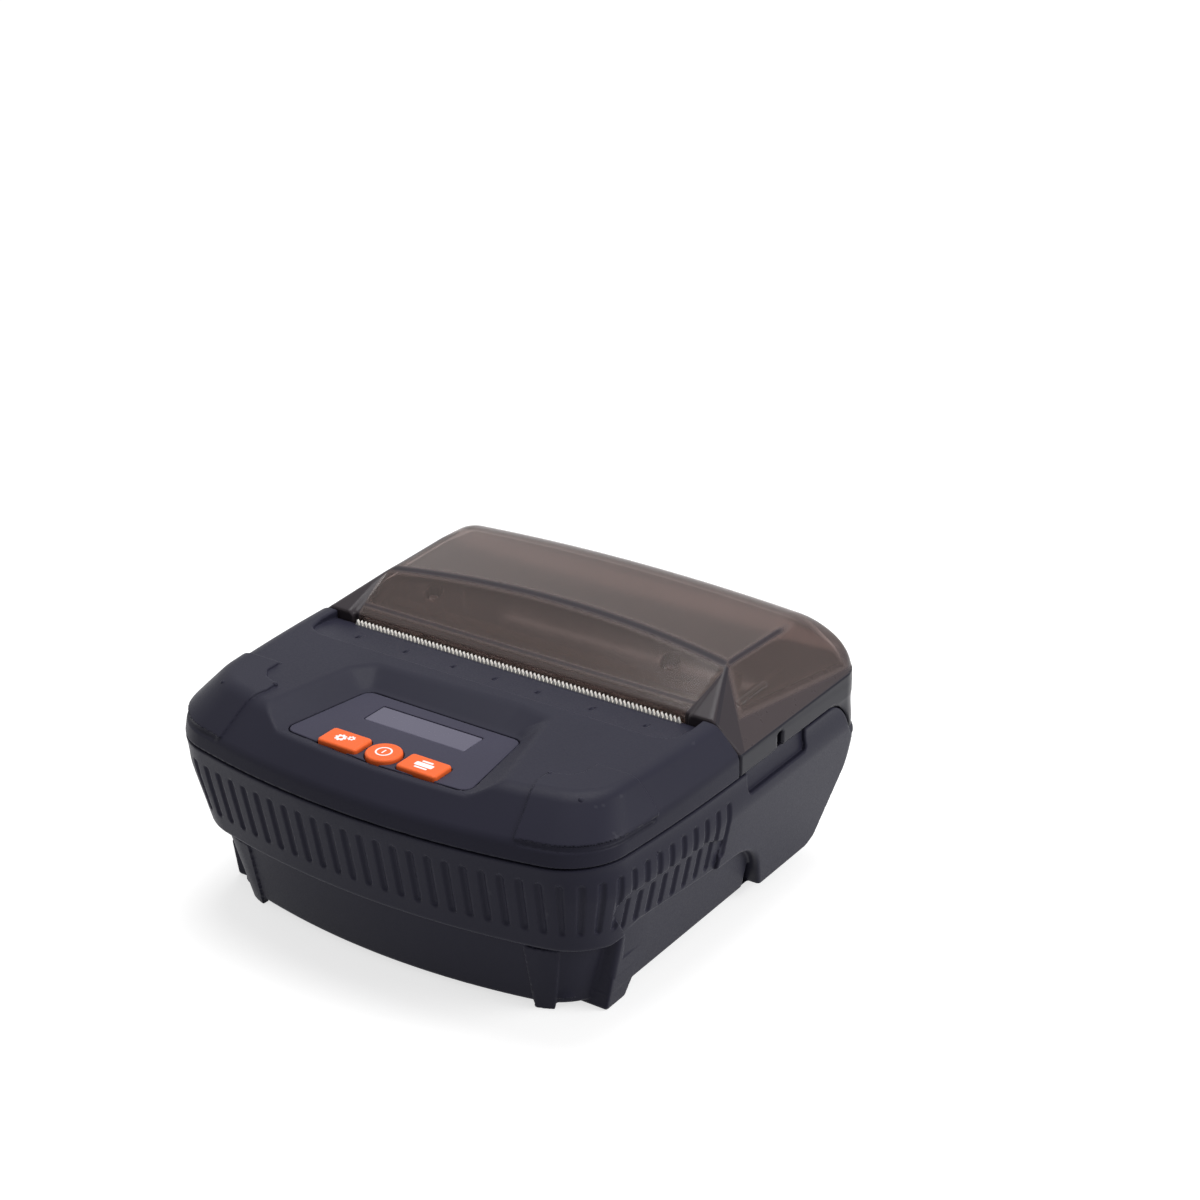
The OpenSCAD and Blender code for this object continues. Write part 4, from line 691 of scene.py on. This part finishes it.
def case_grooves(x, Y, Z, outline):
    """Upright grooves of the band, with a second row below them round the corner and along the side"""
    s = band_length(x, Y)
    i = np.floor(s / GROOVE_PITCH)
    across = s - (i + 0.5) * GROOVE_PITCH
    tall = common(np.abs(Z - MID_Z) - 5.6, 0)
    groove = np.sqrt(across ** 2 + (outline - 0.15) ** 2 + tall ** 2) - GROOVE_R
    low = common(np.abs(Z - 23.6) - 2.9, 0)
    deep = np.sqrt(across ** 2 + (outline + 0.75) ** 2 + low ** 2) - GROOVE_R
    groove = joined(groove, np.where((i >= DEEP_GROOVES[0]) & (i < DEEP_GROOVES[1]), deep, 9))
    return np.where(i < GROOVES, groove, 9)


def with_barrel(form, x, Y, Z):
    """Barrel of the hinge in three lengths, with the gaps for the cover's knuckles and the holes of the pins"""
    barrel = np.hypot(Y - HINGE[0], Z - HINGE[1])
    middle = common(barrel - BARREL_R, x - KNUCKLE_X[0])
    ends = common(barrel - BARREL_R, between(x, KNUCKLE_X[1], side_x(HINGE[1]) - 1.6))
    form = smin(form, joined(middle, ends), 0.3)
    form = common(form, -common(barrel - GAP_R, between(x, *KNUCKLE_X)))
    return common(form, -common(barrel - PIN_R, between(x, 36, 52.3)))


def with_openings(form, X, x, Y, Z, w, yf):
    """Hatch of the battery, screw wells and holes, and the window of the charging port"""
    form = common(form, -common(box2(X, Y, *BATTERY, 1), between(Z, 0, 8)))
    form = common(form, -common(box2(X, Y, -38.6, 34.0, -31.1, 7.1, 1), between(Z, 0, 3.2)))
    for u, v in CASE_SCREWS:
        away = np.hypot(x - u, Y - v)
        well = common(away - 2.7, np.where(Z > 5, 9, 0), plan(x, Y, w - 4.4, yf + 2.5, 13))
        form = common(smax(form, -well, 0.3), 1.5 - away)
    return smax(form, -common(box2(Y, Z, 13.3, 22.7, 25.2, 28.8, 1.6), X + 48), 0.4)


def lower_case(X, Y, Z):
    x = np.abs(X)
    w, yf = side_x(Z) - drawn_in(Z), case_front(Z)
    outline = plan(x, Y, w, yf, CORNER_R)
    skin = rmax(outline, Y - REAR, 5 + 3 * np.clip((Z - 27) / 11, 0, 1))
    form = case_block(x, Y, Z, w, yf, skin)
    form = smax(form, -case_hollow(x, Y, Z, w, yf, skin), 0.4)
    form = smin(form, case_columns(X, x, Y, Z), 0.3)
    form = smax(form, -common(POCKET(Y, Z), -outline - 0.9, 40 - x), 0.5)
    form = smax(form, -case_grooves(x, Y, Z, outline), 0.35)
    # Finger recess under the strip of the cover
    grip = box2(Y + 0.12 * (Z - 35), Z, 5.4, 28.2, 32.6, 60, 1.2)
    form = smax(form, -common(grip, -outline - 1.0), 0.35)
    form = with_barrel(form, x, Y, Z)
    return with_openings(form, X, x, Y, Z, w, yf)


# Upper case with its console: outlines seen from above, as (x, y)

LEDGE_Y = -9.2
PLATE = table(rounded([(0, -45.0), (22.3, -43.8), (18.9, -21.4), (-19.6, -21.0), (-23.4, -43.2)], 2.2),
              (-27, -50), (27, -16), 0.1)
RECESS_LOW = table(rounded([(-24.6, -60), (23.6, -60), (22.9, -43.8), (18.4, -20.4), (-20.6, -20.4), (-23.8, -43.8)],
                           [0, 0, 2, 2.2, 2.2, 2]), (-40, -56), (40, -6))
RECESS_TOP = table(rounded([(-31.5, -60), (30.5, -60), (28.4, -41.9), (20.5, -14.2), (13.0, -12.9), (-22.6, -14.2),
                            (-26.4, -18.6), (-30.7, -42.4)], [0, 0, 1, 2.5, 4, 3, 3, 1]), (-40, -56), (40, -6))
PAD = table(rounded([(36.1, -62), (36.1, -49.4), (35, -43.1), (33.4, -36.2), (33.6, -33.2), (37.2, -31.8),
                     (39.1, -29.5), (39.2, -25.2), (50.4, -25.3), (60, -25.9), (62, -62)],
                    [0, 2, 2, 2, 0.8, 0.8, 1.5, 1.2, 1, 0, 0]), (20, -56), (60, -18), 0.1)
LEDGE = table(rounded([(-41.6, LEDGE_Y), (41.6, LEDGE_Y), (45.0, -8.0), (46.2, -3.0), (45.8, 12), (-45.8, 12),
                       (-46.2, -3), (-45, -8.0)], [4, 4, 2.5, 2, 0, 0, 2, 2.5]), (-52, -14), (52, 8))
TICKS = (-35.3, -22.7, -10.3, 0.1, 10.9, 24.0, 37.0)
DOTS = ((39.4, -25.1), (33.9, -33.4), (43.9, -37.6))
BOSSES = [(u, v, 3.2) for u, v in CASE_SCREWS] + [
    (32, -41, 2.2), (32, -21, 2.2), (17.5, -42.4, 1.8), (17.5, -23, 1.8)]


def side_key(x, y, grow):
    """Key beside the round one, scooped out round it"""
    form = box2(x, y, 4.9, 14.5, KEY_Y - 3, KEY_Y + 3, 0.9)
    return smax(form, 4.6 - np.hypot(x, y - KEY_Y), 0.5) - grow


def key_holes(x, Y, grow):
    return joined(np.hypot(x, Y - KEY_Y) - KEY_R, side_key(x, Y, 0)) - grow


def console_skin(x, Y, Z):
    """Upright band along the seam, and the whole skin with the slanted wall above it"""
    top = 41.6 + 0.0255 * (Y + 53)
    k, m = (Z - CONSOLE_Z) / (top - CONSOLE_Z), (Z - top) / (47.8 - top)
    band = plan(x, Y, TOP_W - 0.2 * k, -53 + 0.8 * k, CORNER_R)
    slant = plan(x, Y, TOP_W - 0.2 - 4.7 * m, -52.2 + 8.0 * m, CORNER_R - 3 * np.clip(m, -1, 2)) * 0.68
    return band, smax(smax(band, slant, 0.8), Z - DECK_Z, 1.3)


def upper_case(X, Y, Z):
    x = np.abs(X)
    band, skin = console_skin(x, Y, Z)
    # Raised caps on the corners, and the groove along the belt, which stops under them
    pad = PAD(x, Y)
    cap = smax(smax(skin - 0.5, pad, 0.25), 42.2 - Z, 0.4)
    groove = np.hypot(band + 0.1, (Z - 41.75) * 1.1) - 0.5
    outer = smax(smin(skin, cap, 0.15), -smax(groove, pad + 0.8, 1.5), 0.5)
    # Recess round the plate, wider towards its top
    up = np.clip((Z - 46) / 2.5, 0, 1.4)
    flared = (RECESS_LOW(X, Y) * (1 - up) + RECESS_TOP(X, Y) * up) * 0.38
    recess = smax(flared, 46 - Z, 0.4)
    form = smax(smax(outer, -recess, 0.45), CONSOLE_Z - Z, 0.5)
    # Inside, which leaves the recess's walls, the bar at the slot and the bosses for the screws
    hollow = smax(skin + WALL, -common(flared - 1.2, 43.6 - Z), 0.3)
    hollow = smax(hollow, -common(between(Y, -1.3, 1.5), between(Z, 43.7, 49)), 0.2)
    for u, v, r in BOSSES:
        hollow = common(hollow, joined(r - np.hypot(x - u, Y - v), Z - 38.4))
    hollow = common(hollow, Z - 46.2 + (Y - LEDGE_Y) * 0.19)
    form = smax(form, -hollow, 0.3)
    # Sloping ledge in front of the slot with its ticks, and the edge towards the cover
    ledge = smax(LEDGE(X, Y) * 0.75, (48.05 - (Y - LEDGE_Y) * 0.14 - Z) * 0.98, 0.15)
    form = smax(form, -ledge, 0.5)
    for u in TICKS:
        form = smax(form, -common(box2(X - u, Y + 4.4, -0.38, 0.38, -1.0, 1.0, 0.35), 47.0 - Z), 0.12)
    form = smax(form, np.where(x < 41.4, Y - 1.5, Y - 2.0), 0.3)
    # Seat of the plate, holes of the keys and window of the display
    form = smax(form, -common(PLATE(X, Y) - KEY_GAP, PLATE_Z - Z), 0.15)
    form = common(form, -common(key_holes(x, Y, KEY_GAP), 42 - Z))
    return common(form, -box2(X, Y, -11.3, 11.3, WINDOW_Y - 2.55, WINDOW_Y + 2.55, 0.4))


def control_plate(X, Y, Z):
    form = smax(PLATE(X, Y), between(Z, PLATE_Z, 46.0), 0.3)
    form = smax(form, -key_holes(np.abs(X), Y, KEY_GAP), 0.2)
    window = box2(X, Y, WINDOW_X[0] - 0.1, WINDOW_X[1] + 0.1, WINDOW_Y - 3.35, WINDOW_Y + 3.35, 0.5)
    return smax(form, -window, 0.15)


def display_lens(X, Y, Z):
    return smax(box2(X, Y, *WINDOW_X, WINDOW_Y - 3.25, WINDOW_Y + 3.25, 0.5), between(Z, PLATE_Z, 45.9), 0.2)


def key(sign):
    """Key on the left (-1), in the middle (0) or on the right (1), with the flange that keeps it in"""
    def form(X, Y, Z):
        away = np.hypot(X, Y - KEY_Y)
        edge = side_key(X * sign, Y, 0) if sign else away - KEY_R
        cap = common(rmax(edge, Z - KEY_TOP, 0.5), 43 - Z)
        flange = common(edge - (0.5 if sign else 0.3), between(Z, 42.5, 43.4))
        if sign:
            flange = common(flange, 4.3 - away)
        return smin(cap, flange, 0.1)
    return form


# Roll cover: its lower outline seen from the side, as (y, z)

COVER_LOW = table([(-12, CONSOLE_Z), (37.3, CONSOLE_Z)] + arc(37.3, 28.9, 9.2, 90, 15, 10)[1:]
                  + arc(*HINGE, GAP_R, 120, 50, 5) + [(53, 30.9), (60, 31.5), (60, 80), (-12, 80)], (-8, 20), (58, 62))


def cover_sides(x, Y, Z, t):
    """Upright wall, slanted side, crown and front of the cover, each t inside its outside"""
    wall = x - TOP_W + t + SIDE_DRAFT * np.maximum(PART_Z - Z, 0)
    wall = wall - drawn_in(PART_Z) + drawn_in(np.minimum(Z, PART_Z))
    wall = rmax(wall, Y - REAR + t, 8 - t)
    run = 1.1 - 0.1 * np.clip((Y - 20) / 27, 0, 1)
    slant = ((x - TOP_W) + (Z - 43) * run) / np.sqrt(1 + run * run) + t + 0.22
    crown = 1.6 * np.minimum((x / 43.5) ** 2, 1.6)
    top = rmax(Y - REAR + t, Z - CROWN_Z + crown + t, 10 - t)
    step = np.clip((x - 41.9) / 1.7, 0, 1)
    cheek = step * step * (3 - 2 * step) * 0.75 * np.clip(1 - (Y - SEAM_Y) / 17, 0, 1)
    front = (Z - 47.9) * 0.924 - (Y - SEAM_Y) * 0.381 - cheek + t
    return wall, slant, top, front


def cover_skin(x, Y, Z, t=0.0):
    wall, slant, top, front = cover_sides(x, Y, Z, t)
    soft = np.clip(0.5 + 0.045 * (Y - 10), 0.5, 2.5)
    side = smin(smax(wall, slant, soft), smax(wall + 0.05, Z - 43 + t, 0.2), 0.15)
    form = smax(side, smax(top, front, 0.6), 0.6 + 2.2 * np.clip((Y - 36) / 12, 0, 1))
    return smax(form, SEAM_Y - Y + t, 0.4)


def roll_cover(X, Y, Z):
    x = np.abs(X)
    outer, hollow = cover_skin(x, Y, Z), cover_skin(x, Y, Z, WALL)
    slant = cover_sides(x, Y, Z, 0)[1]
    # Rib on the slanted side; lip behind the slot and gusset inside
    rib = smax(box2(Y, (x - 48.5) * 0.736 - (Z - 48.9) * 0.677, 11.2, 22.4, -0.55, 0.55, 0.5), slant - 0.35, 0.2)
    rib = common(rib, -slant - 1)
    lip = common(-hollow, between(Y, 5.3, 6.5), x - 43.5)
    gusset = common(between(Y, 10.2, 11.2), between(x, 42.5, 53.6), -outer - 3.6)
    hollow = common(hollow, -joined(gusset, common(lip, -outer - 3.2)))
    form = smax(smin(outer, rib, 0.3), -hollow, 0.3)
    # Lower outline, room for the print mechanism and for the tear bar, and the notch in the strip
    form = smax(form, COVER_LOW(Y, Z), 0.4)
    form = smax(form, -common(x - 49, Y - 7.2, Z - 45.2), 0.3)
    form = smax(form, -common(x - 42.3, Y - 3.2), 0.4)
    form = smax(form, -common(box2(Y, Z, 16.4, 18.6, 35, 41.7, 1.0), 52.6 - x), 0.3)
    # Knuckles of the hinge, and bosses for the screws of the platen carrier
    pin = np.hypot(Y - HINGE[0], Z - HINGE[1])
    web = poly(Y, Z, [(48.1, 29.3), (51.9, 28.5), (52.4, 31.1), (51, 34.5)])
    knuckle = common(joined(pin - BARREL_R, web), between(x, 38.25, 47))
    away = np.hypot(x - CARRIER_SCREW[0], Y - CARRIER_SCREW[1])
    boss = common(away - 2.0, 46.4 - Z, outer + 0.5)
    form = smin(form, joined(knuckle, boss), 0.3)
    form = common(form, -common(pin - 1.25, between(x, 37, 48)))
    return common(form, -common(away - 1.0, Z - 49.4))


# Moulded pieces: name, field, box, grid step, material slot, CAD node that it stands for, share of the faces kept

MOULDED = (
    ("lower_shell", lower_case, (-57, -54, -0.6), (57, 54, 38.6), 0.45, "case_plastic", "lower_case", 0.3),
    ("upper_shell", upper_case, (-57.5, -54, 37.6), (57.5, 3, 49.8), 0.42, "console_plastic", "upper_case", 0.5),
    ("smoke_cover", roll_cover, (-57.2, 1, 22.4), (57.2, 54, 56.2), 0.55, "smoke_cover", "roll_cover", 1),
    ("console_plate", control_plate, (-24, -46, 44.8), (23, -20.5, 46.4), 0.22, "plate", "control_plate", 0.3),
    ("window_lens", display_lens, (-13.3, -31.6, 44.9), (12.4, -24, 46.2), 0.22, "lens", "display_lens", 0.3),
    ("settings_cap", key(-1), (-15.4, -44.9, 42.2), (-4, -37.3, 47.6), 0.16, "keys", "settings_button", 0.4),
    ("power_cap", key(0), (-4.4, -45.6, 42.2), (4.4, -36.6, 47.6), 0.16, "keys", "power_button", 0.4),
    ("feed_cap", key(1), (4, -44.9, 42.2), (15.4, -37.3, 47.6), 0.16, "keys", "feed_button", 0.4),
)
for name, field, lo, hi, step, slot, node, share in MOULDED:
    moulded(name, field, lo, hi, step, MATS[slot], node_body[node], slot, [node], share)


# Small dots on the corner caps

def console_dots():
    line = np.linspace(44, 50, 601)
    spots = []
    for u, v in [(side * u, v) for side in (-1, 1) for u, v in DOTS]:
        inside = upper_case(np.full(601, u), np.full(601, v), line) < 0
        spots.append((u, v, line[np.nonzero(inside)[0][-1]]))
    verts, quads = sculpt(lambda X, Y, Z: np.sqrt(X ** 2 + Y ** 2 + (Z + 0.5) ** 2) - 0.68,
                          (-0.9, -0.9, -1.3), (0.9, 0.9, 0.4), 0.09)
    mesh_object("console_dots", *repeated(verts, quads, spots), MATS["console_plastic"], "case", "console_plastic")


console_dots()


# Cross recessed heads of the screws underneath, a little wider than the solid ones that they cover

HEAD_MORE = 0.04


def screw_heads(name, node, spots, r):
    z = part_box(node)[0][2] / MM

    def head(X, Y, Z):
        form = common(rmax(np.hypot(X, Y) - r, z - 0.6 - Z, 0.5), Z - z - 0.3)
        cross = joined(box2(X, Y, -1.3, 1.3, -0.3, 0.3, 0.1), box2(X, Y, -0.3, 0.3, -1.3, 1.3, 0.1))
        return smax(form, -common(cross, Z - z), 0.1)

    verts, quads = sculpt(head, (-r - 0.5, -r - 0.5, z - 1), (r + 0.5, r + 0.5, z + 0.7), 0.15)
    normals = np.tile(unit(slope(head, verts, 0.05)[1]), (len(spots), 1))
    verts, quads = repeated(verts, quads, [(u, v, 0) for u, v in spots])
    mesh_object(name, verts, quads, MATS["screw_steel"], node_body[node], "screw_steel", normals=normals)


case_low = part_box("case_screws")[0]
screw_heads("case_screw_heads", "case_screws", [(side * u, v) for u, v in CASE_SCREWS for side in (-1, 1)],
            CASE_SCREWS[0][1] - case_low[1] / MM + HEAD_MORE)
door_low, door_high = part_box("door_screws")
door_r = (door_high[0] - door_low[0]) / 2 / MM
door_x = door_low[0] / MM + door_r
screw_heads("door_screw_heads", "door_screws",
            [(door_x, door_low[1] / MM + door_r), (door_x, door_high[1] / MM - door_r)], door_r + HEAD_MORE)


# Generic symbols printed on the keys

def circle(cx, cy, r, n=40, teeth=0, deep=0.0):
    """Circle, or a cog wheel where teeth are given"""
    out = []
    for i in range(n):
        a = 2 * math.pi * i / n
        d = r - (deep if teeth and math.cos(a * teeth) < -0.1 else 0)
        out.append((cx + d * math.cos(a), cy + d * math.sin(a)))
    return out


def cog(cx, cy, r, hole, teeth, deep):
    return circle(cx, cy, r, 64, teeth, deep), circle(cx, cy, hole, 64)


def bar(cx, cy, w, h, r=0.15):
    """Rounded rectangle as a ring closed at its middle"""
    a, b = w / 2, h / 2
    outer = rounded([(cx - a, cy - b), (cx + a, cy - b), (cx + a, cy + b), (cx - a, cy + b)], r, 3)
    return outer, [(cx + (x - cx) * 0.02, cy + (y - cy) * 0.02) for x, y in outer]


def printed(name, rings, node):
    """Thin print on a key, made of rings: pairs of an outer and an inner loop with as many points"""
    verts, faces = [], []
    for outer, inner in rings:
        n, base = len(outer), len(verts)
        for z in (KEY_TOP - 0.05, KEY_TOP + 0.03):
            verts += [(x, y, z) for x, y in outer] + [(x, y, z) for x, y in inner]
        top = 2 * n
        for i in range(n):
            j = (i + 1) % n
            a, b, c, d = base + i, base + j, base + n + j, base + n + i
            faces += [(a + top, b + top, c + top, d + top), (d, c, b, a),
                      (a, b, b + top, a + top), (c, d, d + top, c + top)]
    mesh_object(name, verts, faces, MATS["key_print"], node_body[node], "keys", smooth=False)


printed("settings_symbol", [cog(-10.6, KEY_Y - 0.1, 1.25, 0.45, 8, 0.28), cog(-8.6, KEY_Y + 0.75, 0.85, 0.3, 7, 0.22)],
        "settings_button")
printed("power_symbol", [(circle(0, KEY_Y, 1.75), circle(0, KEY_Y, 1.4)), bar(0, KEY_Y, 0.32, 1.5)], "power_button")
printed("feed_symbol", [bar(9.9, KEY_Y - 0.1, 4.2, 1.35, 0.3), bar(9.9, KEY_Y + 1.15, 2.6, 0.55, 0.2),
                        bar(9.9, KEY_Y - 1.35, 3.0, 0.5, 0.2)], "feed_button")

# Finishes of the CAD nodes

for node, obj in nodes.items():
    finish = MATS[node_slot[node]]
    if not obj.material_slots:
        obj.data.materials.append(finish)
    for place in obj.material_slots:
        place.material = finish


# Floor, background and light

def in_plain_view(n, l):
    """1 for rays from the camera, off gloss and through clear plastic, 0 for the others"""
    path = n.new("ShaderNodeLightPath")
    seen = path.outputs["Is Camera Ray"]
    for ray in ("Is Glossy Ray", "Is Transmission Ray"):
        either = n.new("ShaderNodeMath")
        either.operation = "MAXIMUM"
        l.new(seen, either.inputs[0])
        l.new(path.outputs[ray], either.inputs[1])
        seen = either.outputs[0]
    return seen


def make_floor():
    """Pale floor that looks white where nothing shades it"""
    mesh = bpy.data.meshes.new("floor")
    grid = bmesh.new()
    bmesh.ops.create_grid(grid, x_segments=8, y_segments=8, size=3)
    grid.to_mesh(mesh)
    grid.free()
    floor = bpy.data.objects.new("floor", mesh)
    scene.collection.objects.link(floor)
    m, n, l, s = shader("floor")
    s.inputs["Base Color"].default_value = (0.5, 0.5, 0.5, 1)
    s.inputs["Roughness"].default_value = 0.9
    s.inputs["Specular IOR Level"].default_value = 0.1
    glow = n.new("ShaderNodeEmission")
    glow.inputs["Color"].default_value = (1, 1, 1, 1)
    l.new((Term(m.node_tree, in_plain_view(n, l)) * 0.68).out, glow.inputs["Strength"])
    add = n.new("ShaderNodeAddShader")
    l.new(s.outputs["BSDF"], add.inputs[0])
    l.new(glow.outputs["Emission"], add.inputs[1])
    l.new(add.outputs["Shader"], n["Material Output"].inputs["Surface"])
    mesh.materials.append(m)


def make_world():
    """Soft white surroundings, white to the eye and dimmer as light"""
    world = bpy.data.worlds.new("world")
    scene.world = world
    world.use_nodes = True
    n, l = world.node_tree.nodes, world.node_tree.links
    n["Background"].inputs["Color"].default_value = (1, 1, 1, 1)
    l.new(ranged(n, l, in_plain_view(n, l), 0.4, 1.0), n["Background"].inputs["Strength"])


def area_light(name, place, target, size, power):
    data = bpy.data.lights.new(name, "AREA")
    data.shape = "DISK"
    data.size = size
    data.energy = power
    lamp = bpy.data.objects.new(name, data)
    scene.collection.objects.link(lamp)
    lamp.location = place
    lamp.rotation_mode = "QUATERNION"
    lamp.rotation_quaternion = (Vector(target) - Vector(place)).to_track_quat("-Z", "Y")


make_floor()
make_world()
area_light("key_light", (0.75, 0.25, 0.50), (0, 0, 0.02), 0.5, 4.6)
area_light("top_light", (-0.1, 0.2, 0.9), (0, 0, 0.02), 0.6, 6.3)

scene.view_settings.view_transform = "Standard"
